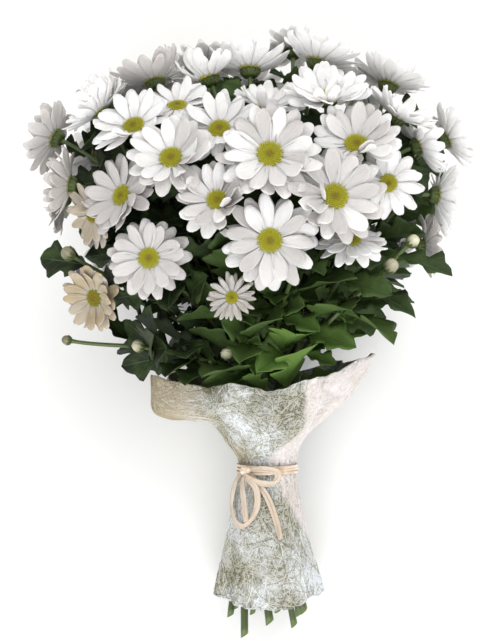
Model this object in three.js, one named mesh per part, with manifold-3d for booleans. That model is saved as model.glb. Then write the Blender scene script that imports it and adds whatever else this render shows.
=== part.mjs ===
// A bunch of daisy-flowered spray chrysanthemums: cut stems that each carry several blooms, leaves
// and buds, held in a flared wrap of fibre sheet that a ribbon ties at the waist. It lies on its
// back on a table. Millimetres; +Z up, +Y from the cut ends towards the crown of the blooms.
//
// The bunch is laid out upright in a frame of its own, with +Y along its axis and +Z towards its
// front. One group then lays it down: LEAN is the angle between its axis and the table.

import * as THREE from "three";
import { mergeVertices } from "three/addons/utils/BufferGeometryUtils.js";
import Module from "manifold-3d";

const wasm = await Module();
wasm.setup();

// ---- Driving dimensions -------------------------------------------------------------------------

const LEAN = THREE.MathUtils.degToRad(15);
const LIFT = 92.5; // height of the bunch frame's origin above the table
const SHIFT = [0, 2.6]; // puts the middle of the laid bunch over the origin of the part

const AXIS_X = 13; // the stems' common axis, beside the middle of the head
const WAIST_Y = -107;
const GAP = 0.4; // between pieces that touch
const SLACK = 0.01; // how far a point that is pressed onto the table may seem to lie below it

const STEM = { count: 9, bundle: 20.3, slope: 0.2, top: 22, sides: 6 };
const STEM_RADII = [2.6, 3.1, 2.4, 3, 2.8, 2.5, 3.1, 2.2, 2.7];
const CUT_ENDS = [-219, -214, -222, -219, -229, -217, -214, -220, -218]; // where each stem is cut
const STALK = { radius: 1.8, sides: 3, steps: 4 };

const DISC_SHARE = 0.25; // disc radius as a share of a bloom's reach
const CUP_DEPTH = 7; // from the disc's plane back to where the stalk meets the bloom
const KEEL = 1.4; // a petal's depth at its midrib
const LEAF_KEEL = 1.3;
const ROW_LIFT = 7; // degrees that the upper row of petals stands above the lower one
const PETAL_GAP = 4.3; // clear distance kept between the petals of different blooms
const STALK_GAP = 4.9;
const LEAF_GAP = 5;

// Each bloom: the middle of its disc, the way it faces (degrees to the right and up of straight
// ahead), its reach from the middle to the petal tips, and how far its petals are cupped.
const BLOOMS = [
  { at: [14, 122, 95.3], turn: 3, pitch: 16, reach: 38, cup: 34 },
  { at: [14, 61, 98], turn: 2, pitch: -4, reach: 35, cup: 12 },
  { at: [60, 92, 98.2], turn: 6, pitch: 12, reach: 37, cup: 24 },
  { at: [-23, 89, 102], turn: -3, pitch: 24, reach: 31, cup: 14 },
  { at: [-72, 49, 86], turn: -3, pitch: 0, reach: 30, cup: 14 },
  { at: [-56, 120, 88], turn: -8, pitch: 30, reach: 34, cup: 30 },
  { at: [76, 130, 82], turn: 4, pitch: 36, reach: 35, cup: 30 },
  { at: [-92, 94, 75], turn: -40, pitch: 14, reach: 31, cup: 27 },
  { at: [99, 103, 76], turn: 10, pitch: -4, reach: 26, cup: 10 },
  { at: [73, 62, 74], turn: 4, pitch: 54, reach: 27, cup: -6 },
  { at: [-13, 21, 84], turn: 0, pitch: 0, reach: 18, cup: 14 },
  { at: [-22, 142, 74], turn: -4, pitch: 36, reach: 31, cup: 30 },
  { at: [56, 166, 60], turn: 4, pitch: 48, reach: 33, cup: 32 },
  { at: [-84, 145, 64], turn: -20, pitch: 38, reach: 32, cup: 28 },
  { at: [-53, 161, 52], turn: -6, pitch: 58, reach: 28, cup: 24 },
  { at: [12, 160, 56], turn: 2, pitch: 62, reach: 28, cup: 30 },
  { at: [-114, 21, 44], turn: -34, pitch: -10, reach: 26, cup: 30 },
  { at: [-133, 104, 42], turn: -98, pitch: 8, reach: 29, cup: 42 },
  { at: [-146, 141, 15], turn: -110, pitch: 22, reach: 30, cup: 36 },
  { at: [-111, 158, 38], turn: -92, pitch: 50, reach: 29, cup: 38 },
  { at: [-116, 82, 46], turn: -52, pitch: -16, reach: 25, cup: 14 },
  { at: [108, 154, 46], turn: 70, pitch: 58, reach: 32, cup: 42 },
  { at: [124, 133, 44], turn: 96, pitch: 22, reach: 28, cup: 42 },
  { at: [139, 97, 32], turn: 102, pitch: -4, reach: 29, cup: 42 },
  { at: [148, 141, 8], turn: 100, pitch: 26, reach: 30, cup: 36 },
  { at: [130, 60, 26], turn: 96, pitch: 2, reach: 25, cup: 40 },
  { at: [0, 191, 28], turn: 180, pitch: 76, reach: 34, cup: 50 },
  { at: [-30, 184, 34], turn: -110, pitch: 70, reach: 32, cup: 48 },
  { at: [-71, 183, 22], turn: -130, pitch: 72, reach: 33, cup: 46 },
  { at: [-110, 167, -1], turn: -110, pitch: 54, reach: 30, cup: 42 },
  { at: [50, 197, 26], turn: 130, pitch: 70, reach: 34, cup: 48 },
  { at: [104, 182, 8], turn: 130, pitch: 66, reach: 32, cup: 44 },
  { at: [33, 213, -34], turn: 180, pitch: 70, reach: 31, cup: 16 },
  { at: [-34, 202, -34], turn: -165, pitch: 66, reach: 31, cup: 14 },
  { at: [-86, 176, -42], turn: -140, pitch: 48, reach: 31, cup: 14 },
  { at: [84, 184, -46], turn: 140, pitch: 50, reach: 31, cup: 14 },
  { at: [0, 184, -78], turn: 180, pitch: 44, reach: 33, cup: 12 },
  { at: [-144, 98, -22], turn: -98, pitch: 4, reach: 29, cup: 14 },
  { at: [-120, 134, -56], turn: -128, pitch: 22, reach: 30, cup: 14 },
  { at: [-112, 62, -62], turn: -126, pitch: -8, reach: 28, cup: 12 },
  { at: [144, 92, -28], turn: 98, pitch: 2, reach: 29, cup: 14 },
  { at: [118, 140, -56], turn: 128, pitch: 24, reach: 30, cup: 14 },
  { at: [112, 58, -64], turn: 128, pitch: -8, reach: 28, cup: 12 },
  { at: [-46, 142, -104], turn: -170, pitch: 14, reach: 32, cup: 8 },
  { at: [46, 144, -106], turn: 170, pitch: 14, reach: 32, cup: 8 },
  { at: [0, 84, -115.6], turn: 180, pitch: -15, reach: 32, cup: 20 },
  { at: [-66, 62, -109.6], turn: 180, pitch: -15, reach: 30, cup: 20 },
  { at: [66, 60, -109], turn: 180, pitch: -15, reach: 30, cup: 20 },
];

// The middle and the radius of each unopened flower bud.
const BUDS = [
  { at: [118, 62, 60], radius: 4.6 },
  { at: [102, 44, 62], radius: 5.2 },
  { at: [-17, -20, 48], radius: 4.4 },
  { at: [-134, 54, 34], radius: 5 },
  { at: [-82, -14, 42], radius: 4.4 },
  { at: [-136, -10, 24], radius: 3.4 },
];

// Lifts (degrees) and lengths (shares) that a petal tries in turn until it lies clear.
const PETAL_LIFTS = [0, 9, -9, 18, -18, 28, -28, 40, -40, 54, 70];
const PETAL_LENGTHS = [1, 0.84, 0.68, 0.5];

const COLOURS = {
  petal: { color: 0xf4f2ec, roughness: 0.6 },
  leaf: { color: 0x2f4a22, roughness: 0.55 },
  wrap: { color: 0xd9d4c4, roughness: 0.9 },
  ribbon: { color: 0xecd6c4, roughness: 0.5 },
};

// ---- Small helpers ------------------------------------------------------------------------------

const rad = THREE.MathUtils.degToRad;
const vec = (x, y, z) => new THREE.Vector3(x, y, z);

/** A fixed pseudo-random number from 0 to 1 for the given seed and index. */
function noise(seed, index) {
  const s = Math.sin(seed * 127.1 + index * 311.7) * 43758.5453;
  return s - Math.floor(s);
}

/** Height above the table of a point of the bunch frame. */
function height(p) {
  return p.y * Math.sin(LEAN) + p.z * Math.cos(LEAN) + LIFT;
}

/** The point moved straight up, off the table, where it would lie under the given height. */
function pressed(p, least) {
  const rise = Math.max(0, least - height(p));
  return vec(p.x, p.y + rise * Math.sin(LEAN), p.z + rise * Math.cos(LEAN));
}

/** The points already taken up by pieces, kept in a grid so that near ones are found fast. */
class Taken {
  constructor(cell = 6) {
    this.cell = cell;
    this.grid = new Map();
  }
  key(p, dx = 0, dy = 0, dz = 0) {
    const c = this.cell;
    return [p.x / c, p.y / c, p.z / c]
      .map((v, i) => Math.floor(v) + [dx, dy, dz][i])
      .join();
  }
  add(points, owner) {
    for (const point of points) {
      const key = this.key(point);
      if (!this.grid.has(key)) this.grid.set(key, []);
      this.grid.get(key).push({ point, owner });
    }
  }
  /** True if every point keeps the gap from what belongs to others, and stays above the table. */
  clear(points, gap, owner) {
    return points.every((p) => {
      if (height(p) < -SLACK) return false;
      for (let i = 0; i < 27; i++) {
        const near = this.grid.get(
          this.key(p, (i % 3) - 1, (Math.floor(i / 3) % 3) - 1, Math.floor(i / 9) - 1),
        );
        if (near?.some((n) => n.owner !== owner && n.point.distanceTo(p) < gap)) return false;
      }
      return true;
    });
  }
}

/** A BufferGeometry from a list of points and triangles of indices. */
function geometryOf(points, triangles) {
  const g = new THREE.BufferGeometry().setFromPoints(points);
  return g.setIndex(triangles.flat());
}

/** A closed geometry as a manifold-3d solid. */
function solidOf(geometry) {
  const bare = geometry.clone();
  bare.deleteAttribute("normal");
  bare.deleteAttribute("uv");
  const merged = mergeVertices(bare, 1e-4);
  return new wasm.Manifold(
    new wasm.Mesh({
      numProp: 3,
      vertProperties: merged.attributes.position.array,
      triVerts: new Uint32Array(merged.index.array),
    }),
  );
}

/** The largest body of a manifold-3d solid as a BufferGeometry. */
function geometryFrom(solid) {
  const [largest] = solid.decompose().sort((a, b) => b.volume() - a.volume());
  const mesh = largest.getMesh();
  const g = new THREE.BufferGeometry();
  g.setAttribute("position", new THREE.BufferAttribute(mesh.vertProperties, 3));
  return g.setIndex(new THREE.BufferAttribute(mesh.triVerts, 1));
}

/** A named mesh in one of the bunch's colours. */
function meshOf(name, geometry, colour) {
  const material = new THREE.MeshStandardMaterial({
    ...COLOURS[colour],
    metalness: 0,
    flatShading: true,
  });
  const mesh = new THREE.Mesh(geometry, material);
  mesh.name = name;
  return mesh;
}

// ---- Blooms -------------------------------------------------------------------------------------

/** A bloom's own axes: z faces out of the disc, x is level. */
function facing({ turn, pitch }) {
  const z = vec(
    Math.sin(rad(turn)) * Math.cos(rad(pitch)),
    Math.sin(rad(pitch)),
    Math.cos(rad(turn)) * Math.cos(rad(pitch)),
  );
  const x = vec(0, 1, 0).cross(z).normalize();
  return { x, y: z.clone().cross(x), z };
}

/** Number of a bloom's petals: more on a wide one at the front. */
function petalCount({ at, reach }) {
  if (at[2] < -20) return 12;
  return reach > 33 ? 16 : reach > 29 ? 14 : 12;
}

/** One petal of a bloom as three stations (root, widest, tip) with a middle, side and half width. */
function petal(bloom, index, lift, length) {
  const { x, y, z } = bloom.axes;
  const count = petalCount(bloom);
  const draw = (k) => noise(bloom.seed, 10 * index + k) - 0.5;
  const around = (2 * Math.PI * (index + 0.5)) / count + bloom.seed + rad(3 * draw(1));
  const outward = x.clone().multiplyScalar(Math.cos(around)).addScaledVector(y, Math.sin(around));
  const side = x.clone().multiplyScalar(-Math.sin(around)).addScaledVector(y, Math.cos(around));
  const row = index % 2 ? ROW_LIFT : -ROW_LIFT;
  const disc = bloom.reach * DISC_SHARE;
  const full = (bloom.reach - disc) * (1 + 0.12 * draw(2)) * length;
  const rootLift = rad(0.5 * bloom.cup + 0.5 * row + 0.7 * lift + 8 * draw(3));
  const tipLift = rad(bloom.cup + row + lift + 22 * draw(4));
  const stations = [{ middle: outward.clone().multiplyScalar(disc).add(bloom.middle), r: disc }];
  for (const [share, angle] of [
    [0.62, rootLift],
    [0.38, tipLift],
  ]) {
    const from = stations.at(-1);
    const r = from.r + full * share * Math.cos(angle);
    const middle = from.middle
      .clone()
      .addScaledVector(outward, full * share * Math.cos(angle))
      .addScaledVector(z, full * share * Math.sin(angle));
    stations.push({ middle, r });
  }
  const share = (r) => (0.47 * 2 * Math.PI * r) / count;
  stations[0].half = disc * Math.sin(Math.PI / count);
  stations[1].half = Math.min(0.17 * bloom.reach, share(stations[1].r));
  stations[2].half = Math.min(0.76 * stations[1].half, share(stations[2].r));
  const back = outward.clone().multiplyScalar(Math.sin(rootLift));
  back.addScaledVector(z, -Math.cos(rootLift));
  return { stations, side, back };
}

/** Points spread over a petal, for the test of what lies clear. */
function petalPoints({ stations, side }) {
  const points = [];
  for (const t of [0.4, 0.65, 0.9, 1.15, 1.4, 1.7, 2]) {
    const i = Math.min(1, Math.floor(t));
    const [a, b] = [stations[i], stations[i + 1]];
    const middle = a.middle.clone().lerp(b.middle, t - i);
    const half = THREE.MathUtils.lerp(a.half, b.half, t - i);
    for (const s of [-0.95, -0.5, 0, 0.5, 0.95])
      points.push(middle.clone().addScaledVector(side, s * half));
  }
  return points;
}

/** Points over a bloom's disc and the green cup behind it. */
function corePoints(bloom) {
  const { x, y, z } = bloom.axes;
  const disc = bloom.reach * DISC_SHARE;
  const points = [];
  for (const [share, depth] of [
    [0.95, 0],
    [0.45, 1.5],
    [0.7, -4],
    [0.4, -8],
  ])
    for (let i = 0; i < 8; i++) {
      const a = (Math.PI * i) / 4;
      points.push(
        bloom.middle
          .clone()
          .addScaledVector(x, share * disc * Math.cos(a))
          .addScaledVector(y, share * disc * Math.sin(a))
          .addScaledVector(z, depth),
      );
    }
  return points;
}

/** Picks each petal's lift and length: the first in turn that lies clear of the other blooms. */
function unfold(bloom, taken) {
  bloom.petals = [];
  for (let i = 0; i < petalCount(bloom); i++) {
    const tries = PETAL_LENGTHS.flatMap((length) => PETAL_LIFTS.map((lift) => [lift, length]));
    const flat = ([lift, length]) => {
      const made = petal(bloom, i, lift, length);
      for (const s of made.stations) s.middle = pressed(s.middle, 0);
      return made;
    };
    const fits = tries.find((t) => taken.clear(petalPoints(flat(t)), PETAL_GAP, bloom.name));
    bloom.petals.push(flat(fits ?? [0, 0.3]));
  }
  taken.add(bloom.petals.flatMap(petalPoints), bloom.name);
}

/** One closed skin over a bloom: domed disc, a ring of keeled petals, and the cup behind. */
function bloomGeometry(bloom) {
  const { x, y, z } = bloom.axes;
  const count = petalCount(bloom);
  const disc = bloom.reach * DISC_SHARE;
  const place = (r, a, depth) =>
    bloom.middle
      .clone()
      .addScaledVector(x, r * Math.cos(a))
      .addScaledVector(y, r * Math.sin(a))
      .addScaledVector(z, depth);
  const turnAt = (i) => (2 * Math.PI * i) / count + bloom.seed;
  const points = [place(0, 0, 0.28 * disc), place(0, 0, -CUP_DEPTH)];
  const triangles = [];
  const valley = (i) => 2 + (i % count);
  const keelRoot = (i) => 2 + count + (i % count);
  for (let i = 0; i < count; i++) points.push(place(disc, turnAt(i), 0));
  for (let i = 0; i < count; i++) points.push(place(0.5 * disc, turnAt(i + 0.5), -0.45 * disc));
  bloom.petals.forEach(({ stations, side, back }, i) => {
    const [, wide, tip] = stations;
    const first = points.length;
    const keel = wide.middle.clone().addScaledVector(back, KEEL);
    points.push(
      pressed(wide.middle.clone().addScaledVector(side, -wide.half), 0),
      pressed(wide.middle.clone().addScaledVector(side, wide.half), 0),
      pressed(keel, KEEL),
      pressed(tip.middle.clone().addScaledVector(side, -tip.half), 0),
      pressed(tip.middle.clone().addScaledVector(side, tip.half), 0),
    );
    const [wideL, wideR, wideK, tipL, tipR] = [0, 1, 2, 3, 4].map((k) => first + k);
    const [rootL, rootR, rootK] = [valley(i), valley(i + 1), keelRoot(i)];
    triangles.push([rootL, wideL, wideR], [rootL, wideR, rootR]);
    triangles.push([wideL, tipL, tipR], [wideL, tipR, wideR]);
    triangles.push([rootL, rootK, wideK], [rootL, wideK, wideL], [wideL, wideK, tipL]);
    triangles.push([rootR, wideK, rootK], [rootR, wideR, wideK], [wideR, tipR, wideK]);
    triangles.push([wideK, tipR, tipL]);
    triangles.push([rootR, rootK, keelRoot(i + 1)], [rootK, 1, keelRoot(i + 1)]);
    triangles.push([0, rootL, rootR]);
  });
  const own = new THREE.Matrix4().makeBasis(x, y, z).setPosition(bloom.middle).invert();
  return geometryOf(points, triangles).applyMatrix4(own);
}

/** The bloom as a named mesh, placed by its own position and rotation. */
function bloomMesh(bloom) {
  const mesh = meshOf(bloom.name, bloomGeometry(bloom), "petal");
  const { x, y, z } = bloom.axes;
  mesh.position.copy(bloom.middle);
  mesh.quaternion.setFromRotationMatrix(new THREE.Matrix4().makeBasis(x, y, z));
  return mesh;
}

// ---- Stems --------------------------------------------------------------------------------------

/** A point of main stem i at height y: the stems cross at the waist in a spiral. */
function stemPoint(i, y) {
  const a = (2 * Math.PI * i) / STEM.count + 0.33;
  const ring = STEM.bundle - STEM_RADII[i];
  const along = STEM.slope * (y - WAIST_Y);
  return vec(
    AXIS_X + ring * Math.cos(a) - along * Math.sin(a),
    y,
    ring * Math.sin(a) + along * Math.cos(a),
  );
}

/** The main stems in order of how near below a point of the head they stand. */
function carriers({ x, z }) {
  const apart = (i) => {
    const p = stemPoint(i, 0);
    const d = Math.atan2(p.z, p.x - AXIS_X) - Math.atan2(z, x - AXIS_X);
    return Math.abs(Math.atan2(Math.sin(d), Math.cos(d)));
  };
  return [...Array(STEM.count).keys()].sort((a, b) => apart(a) - apart(b));
}

/** A tube of flat sides along a curve. */
function tube(curve, radius, sides, steps) {
  const ring = [...Array(sides).keys()].map((k) => {
    const a = (2 * Math.PI * k) / sides;
    return new THREE.Vector2(radius * Math.cos(a), radius * Math.sin(a));
  });
  const options = { steps, extrudePath: curve, bevelEnabled: false };
  return new THREE.ExtrudeGeometry(new THREE.Shape(ring), options);
}

/** A stalk that leaves a main stem at a fork and comes up behind its flower. */
function stalkCurve({ base, facing }, { stem, rise, bend, swerve }) {
  const fork = stemPoint(stem, Math.min(STEM.top - 4, -34 + 0.24 * (base.y - 20) + rise));
  const up = stemPoint(stem, fork.y + 1).sub(fork).normalize();
  const toward = base.clone().sub(fork);
  const span = toward.length();
  const aside = toward.clone().addScaledVector(up, -toward.dot(up)).normalize();
  const ahead = up.clone().addScaledVector(aside, 0.6).normalize();
  return new THREE.CubicBezierCurve3(
    fork,
    fork.clone().addScaledVector(ahead, 0.32 * span).addScaledVector(up.cross(aside), swerve),
    base.clone().addScaledVector(facing, -bend * span),
    base,
  );
}

/** Evenly spaced points along a stalk as it is built, in straight lengths. */
function stalkPoints(curve, count) {
  const knots = curve.getSpacedPoints(STALK.steps);
  return [...Array(count + 1).keys()].map((k) => {
    const t = (k / count) * STALK.steps;
    const i = Math.min(STALK.steps - 1, Math.floor(t));
    return knots[i].clone().lerp(knots[i + 1], t - i);
  });
}

// Ways that a stalk tries in turn: rise of the fork (mm), swerve to a side (mm), and length of the
// bend behind the flower (a share of the stalk).
const RISES = [0, 7, -7, 14, -14, 21, -21, 28, 36, 44];
const SWERVES = [0, 12, -12, 24, -24, 38, -38];
const BENDS = [0.3, 0.42, 0.2, 0.54, 0.1];
const WAYS = RISES.flatMap((rise) =>
  SWERVES.flatMap((swerve) => BENDS.map((bend) => ({ rise, swerve, bend }))),
);

/** Grows a flower's stalk: the first way that lies clear of the petals and the other stalks. */
function growStalk(end, taken) {
  const tries = carriers(end.base)
    .slice(0, 5)
    .flatMap((stem) => WAYS.map((way) => ({ stem, ...way })));
  const fits = tries.find((way) => {
    const points = stalkPoints(stalkCurve(end, way), 40);
    const [low, high] = [points.slice(3, 12), points.slice(12, 38)];
    const own = "spray_" + way.stem;
    return taken.clear(low, STALK_GAP, own) && taken.clear(high, STALK_GAP, "");
  });
  const way = fits ?? tries[0];
  end.curve = stalkCurve(end, way);
  end.spray = sprays[way.stem];
  end.spray.ends.push(end);
  end.line = stalkPoints(end.curve, 50);
  taken.add(end.line, end.spray.name);
}

// ---- Leaves and buds ----------------------------------------------------------------------------

// Half of a leaf's outline from the stalk to the tip: share of the length, share of the length out.
const LEAF_EDGE = [
  [0.14, 0.05],
  [0.34, 0.27],
  [0.46, 0.14],
  [0.66, 0.33],
  [0.84, 0.15],
];
const LEAF_RIB = [0, 0.38, 0.7, 1];

/** A point of a leaf: along its rib and out to one side, arched along its length. */
function leafPoint(leaf, along, out, under = 0) {
  const arch = leaf.length * leaf.arch * along * along;
  return leaf.root
    .clone()
    .addScaledVector(leaf.ahead, leaf.length * along)
    .addScaledVector(leaf.side, leaf.length * out)
    .addScaledVector(leaf.face, 0.35 * leaf.length * Math.abs(out) - arch - under);
}

/** Points spread over a leaf, for the test of what lies clear. */
function leafPoints(leaf) {
  const points = [];
  for (const [along, half] of [
    [0.22, 0.12],
    [0.34, 0.25],
    [0.46, 0.2],
    [0.56, 0.24],
    [0.66, 0.3],
    [0.76, 0.2],
    [0.86, 0.13],
    [1, 0],
  ])
    for (const s of [-1, -0.75, -0.5, -0.25, 0, 0.25, 0.5, 0.75, 1])
      points.push(leafPoint(leaf, along, s * half));
  return points;
}

/** A lobed leaf as a closed skin: two halves folded along the rib over a keel. */
function leafGeometry(leaf) {
  const points = [];
  const push = (p) => points.push(pressed(p, 0.2)) - 1;
  const rib = LEAF_RIB.map((t) => push(leafPoint(leaf, t, 0)));
  const keel = LEAF_RIB.slice(0, 3).map((t) => push(leafPoint(leaf, t, 0, LEAF_KEEL)));
  const triangles = [];
  for (const s of [-1, 1]) {
    const edge = LEAF_EDGE.map(([t, out]) => push(leafPoint(leaf, t, s * out)));
    const skin = (line, flip) => {
      const add = (a, b, c) => triangles.push(flip ? [a, c, b] : [a, b, c]);
      add(line[0], edge[0], line[1]);
      add(line[1], edge[0], edge[1]);
      add(line[1], edge[1], edge[2]);
      add(line[1], edge[2], edge[3]);
      add(line[1], edge[3], line[2]);
      add(line[2], edge[3], edge[4]);
      add(line[2], edge[4], rib[3]);
    };
    skin(rib, s < 0);
    skin(keel, s > 0);
    const close = s > 0 ? [keel[0], edge[0], rib[0]] : [keel[0], rib[0], edge[0]];
    triangles.push(close);
  }
  return geometryOf(points, triangles);
}

/** A leaf that grows from a point of a stem, outwards from the bunch's axis. */
function leafFrom(root, { length, up, swing, arch, seed }) {
  const away = Math.atan2(root.z, root.x - AXIS_X) + rad(swing);
  const flat = vec(Math.cos(away), 0, Math.sin(away));
  const side = vec(-Math.sin(away), 0, Math.cos(away));
  const ahead = flat.clone().multiplyScalar(Math.cos(rad(up)));
  ahead.y = Math.sin(rad(up));
  const face = side.clone().cross(ahead).normalize();
  const roll = rad(80 * (noise(seed, 5) - 0.5));
  return {
    root: root.clone().addScaledVector(ahead, -1.2),
    length,
    arch,
    ahead,
    side: side.clone().applyAxisAngle(ahead, roll),
    face: face.applyAxisAngle(ahead, roll),
  };
}

// The eight corners of a cube round a bud's middle.
const CORNERS = [-1, 1].flatMap((x) => [-1, 1].flatMap((y) => [-1, 1].map((z) => [x, y, z])));

const LEAF_HEIGHTS = [-50, -36, -18, 2, 16]; // of the leaves on a main stem
// Leaves on a stalk: how far up it, as a share, and how long.
const STALK_LEAVES = [
  [0.4, 58],
  [0.62, 48],
];
const LOW = 100;
const LEAF_SWINGS = [0, 22, -22, 44, -44, 66, -66];
const LEAF_UPS = [0, 18, -18, 34];

/** Adds a leaf to a spray where one lies clear; a leaf with no room isn't grown. */
function growLeaf(spray, root, length, up, seed, taken) {
  for (const size of [1, 0.8, 0.62])
    for (const rise of LEAF_UPS)
      for (const swing of LEAF_SWINGS) {
        const leaf = leafFrom(root, {
          length: length * size,
          up: up + rise + 40 * (noise(seed, 3) - 0.4),
          swing: swing + 60 * (noise(seed, 1) - 0.5),
          arch: 0.12 + 0.2 * noise(seed, 2),
          seed,
        });
        const points = leafPoints(leaf);
        if (!taken.clear(points.slice(0, 9), LEAF_GAP, spray.name)) continue;
        if (!taken.clear(points.slice(9), LEAF_GAP, "")) continue;
        spray.leaves.push(leaf);
        taken.add(points, spray.name);
        return;
      }
}

/** A round flower bud at the end of its stalk. */
function budGeometry({ curve }, radius) {
  const bud = new THREE.SphereGeometry(radius, 6, 4);
  const centre = curve.getPoint(1).addScaledVector(curve.getTangent(1), 0.7 * radius);
  const turn = new THREE.Quaternion().setFromUnitVectors(vec(0, 1, 0), curve.getTangent(1));
  return bud.applyQuaternion(turn).translate(centre.x, centre.y, centre.z);
}

// ---- Wrap ---------------------------------------------------------------------------------------

const SHEET = 1; // thickness of the wrap
const AROUND = 28; // steps round the wrap
// Height and radius of the wrap towards the right, the front, the left and the back.
const WRAP_SIDES = {
  right: [
    [-198, 40],
    [-165, 31],
    [-114, 22],
    [-100, 22],
    [-83, 27],
    [-70, 38],
    [-59, 52],
    [-42, 64],
    [-22, 75],
  ],
  front: [
    [-209, 38],
    [-168, 33],
    [-114, 22],
    [-100, 22],
    [-86, 34],
    [-74, 43],
    [-62, 47],
    [-53, 49],
    [-45, 50],
  ],
  left: [
    [-200, 38],
    [-165, 32],
    [-114, 22],
    [-100, 22],
    [-88, 29],
    [-74, 40],
    [-70, 62],
    [-66, 83],
    [-38, 87],
  ],
  back: [
    [-203, 45],
    [-168, 34],
    [-114, 22],
    [-100, 22],
    [-86, 33],
    [-72, 42],
    [-58, 48],
    [-46, 52],
    [-36, 55],
  ],
};

/** Height and radius of the wrap's outer skin at a step round it and a ring up it. */
function wrapStation(step, ring) {
  const a = (2 * Math.PI * step) / AROUND;
  const weights = {
    right: Math.max(0, Math.cos(a)) ** 2.4,
    left: Math.max(0, -Math.cos(a)) ** 1.8,
    front: Math.max(0, Math.sin(a)) ** 1.4,
    back: Math.max(0, -Math.sin(a)) ** 1.4,
  };
  const total = Object.values(weights).reduce((sum, w) => sum + w, 0);
  const mean = (k) =>
    Object.entries(weights).reduce((sum, [s, w]) => sum + w * WRAP_SIDES[s][ring][k], 0) / total;
  const fromWaist = Math.abs(ring - 2.5) - 0.5;
  const pleat = 0.025 * Math.min(4, fromWaist) * Math.sin(7 * a + 0.5) * mean(1);
  return { y: mean(0) + 0.3 * pleat, r: mean(1) + pleat };
}

/** Points spread over the wrap, for the test of what lies clear. */
function wrapPoints() {
  const points = [];
  for (let step = 0; step < AROUND; step += 1 / 3)
    for (let ring = 4; ring < WRAP_SIDES.front.length; ring++) {
      const [low, high] = [wrapStation(step, ring - 1), wrapStation(step, ring)];
      const a = (2 * Math.PI * step) / AROUND;
      for (const t of [0.33, 0.67, 1]) {
        const r = THREE.MathUtils.lerp(low.r, high.r, t);
        const y = THREE.MathUtils.lerp(low.y, high.y, t);
        points.push(pressed(vec(AXIS_X + r * Math.cos(a), y, r * Math.sin(a)), 0));
      }
    }
  return points;
}

/** The wrap: a thin closed skin, open at both ends, pressed flat where it lies on the table. */
function wrapGeometry() {
  const rings = WRAP_SIDES.front.length;
  const points = [];
  for (const inner of [0, 1])
    for (let ring = 0; ring < rings; ring++)
      for (let step = 0; step < AROUND; step++) {
        const { y, r } = wrapStation(step, ring);
        const a = (2 * Math.PI * step) / AROUND;
        const reach = r - SHEET * inner;
        const p = vec(AXIS_X + reach * Math.cos(a), y, reach * Math.sin(a));
        points.push(pressed(p, SHEET * inner));
      }
  const at = (inner, ring, step) => (inner * rings + ring) * AROUND + (step % AROUND);
  const triangles = [];
  const quad = (a, b, c, d) => triangles.push([a, b, c], [a, c, d]);
  for (let step = 0; step < AROUND; step++) {
    for (let ring = 0; ring + 1 < rings; ring++) {
      quad(at(0, ring, step), at(0, ring + 1, step), at(0, ring + 1, step + 1), at(0, ring, step + 1));
      quad(at(1, ring, step), at(1, ring, step + 1), at(1, ring + 1, step + 1), at(1, ring + 1, step));
    }
    const top = rings - 1;
    quad(at(0, top, step), at(1, top, step), at(1, top, step + 1), at(0, top, step + 1));
    quad(at(0, 0, step), at(0, 0, step + 1), at(1, 0, step + 1), at(1, 0, step));
  }
  return geometryOf(points, triangles);
}

// ---- Ribbon -------------------------------------------------------------------------------------

const RIBBON = { band: 7, loop: 4.5, tail: 3.6, thick: 0.9, knot: 4.4 };
const KNOT_AT = 128; // degrees round the wrap from its right side
// Middle lines of the bow's two loops and two tails: mm to the right of the knot, up from it, and
// off the wrap.
const LOOPS = [
  [[-2, -1, 4], [-9, -9, 6], [-12, -24, 5], [-5, -38, 5], [5, -40, 5], [12, -28, 5], [10, -13, 6], [1, -5, 7]],
  [[2, 0, 4], [13, 2, 6], [24, -1, 6], [22, -9, 6], [10, -8, 7], [1, -3, 7]],
];
const TAILS = [
  [[-1, -1, 4], [0, -10, 8], [3, -20, 9], [5, -30, 8], [6, -37, 6]],
  [[1, -1, 4], [10, -9, 4], [19, -20, 3], [27, -35, 2.5], [33, -50, 2.5]],
];

/** Radius of the wrap's outer skin in a direction (radians round the axis) and at a height. */
function wrapRadius(a, y) {
  const step = ((((a * AROUND) / (2 * Math.PI)) % AROUND) + AROUND) % AROUND;
  const rings = WRAP_SIDES.front.length;
  for (let ring = 1; ring < rings; ring++) {
    const [low, high] = [wrapStation(step, ring - 1), wrapStation(step, ring)];
    if (y <= high.y || ring === rings - 1)
      return THREE.MathUtils.mapLinear(y, low.y, high.y, low.r, high.r);
  }
}

/** A point beside the knot, held off the wrap: to the right, up, and away from the wrap. */
function offWrap([right, up, off]) {
  const knot = rad(KNOT_AT);
  const y = WAIST_Y + up;
  const a = knot - right / (wrapRadius(knot, y) + 4);
  const r = wrapRadius(a, y) + off;
  return vec(AXIS_X + r * Math.cos(a), y, r * Math.sin(a));
}

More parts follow.
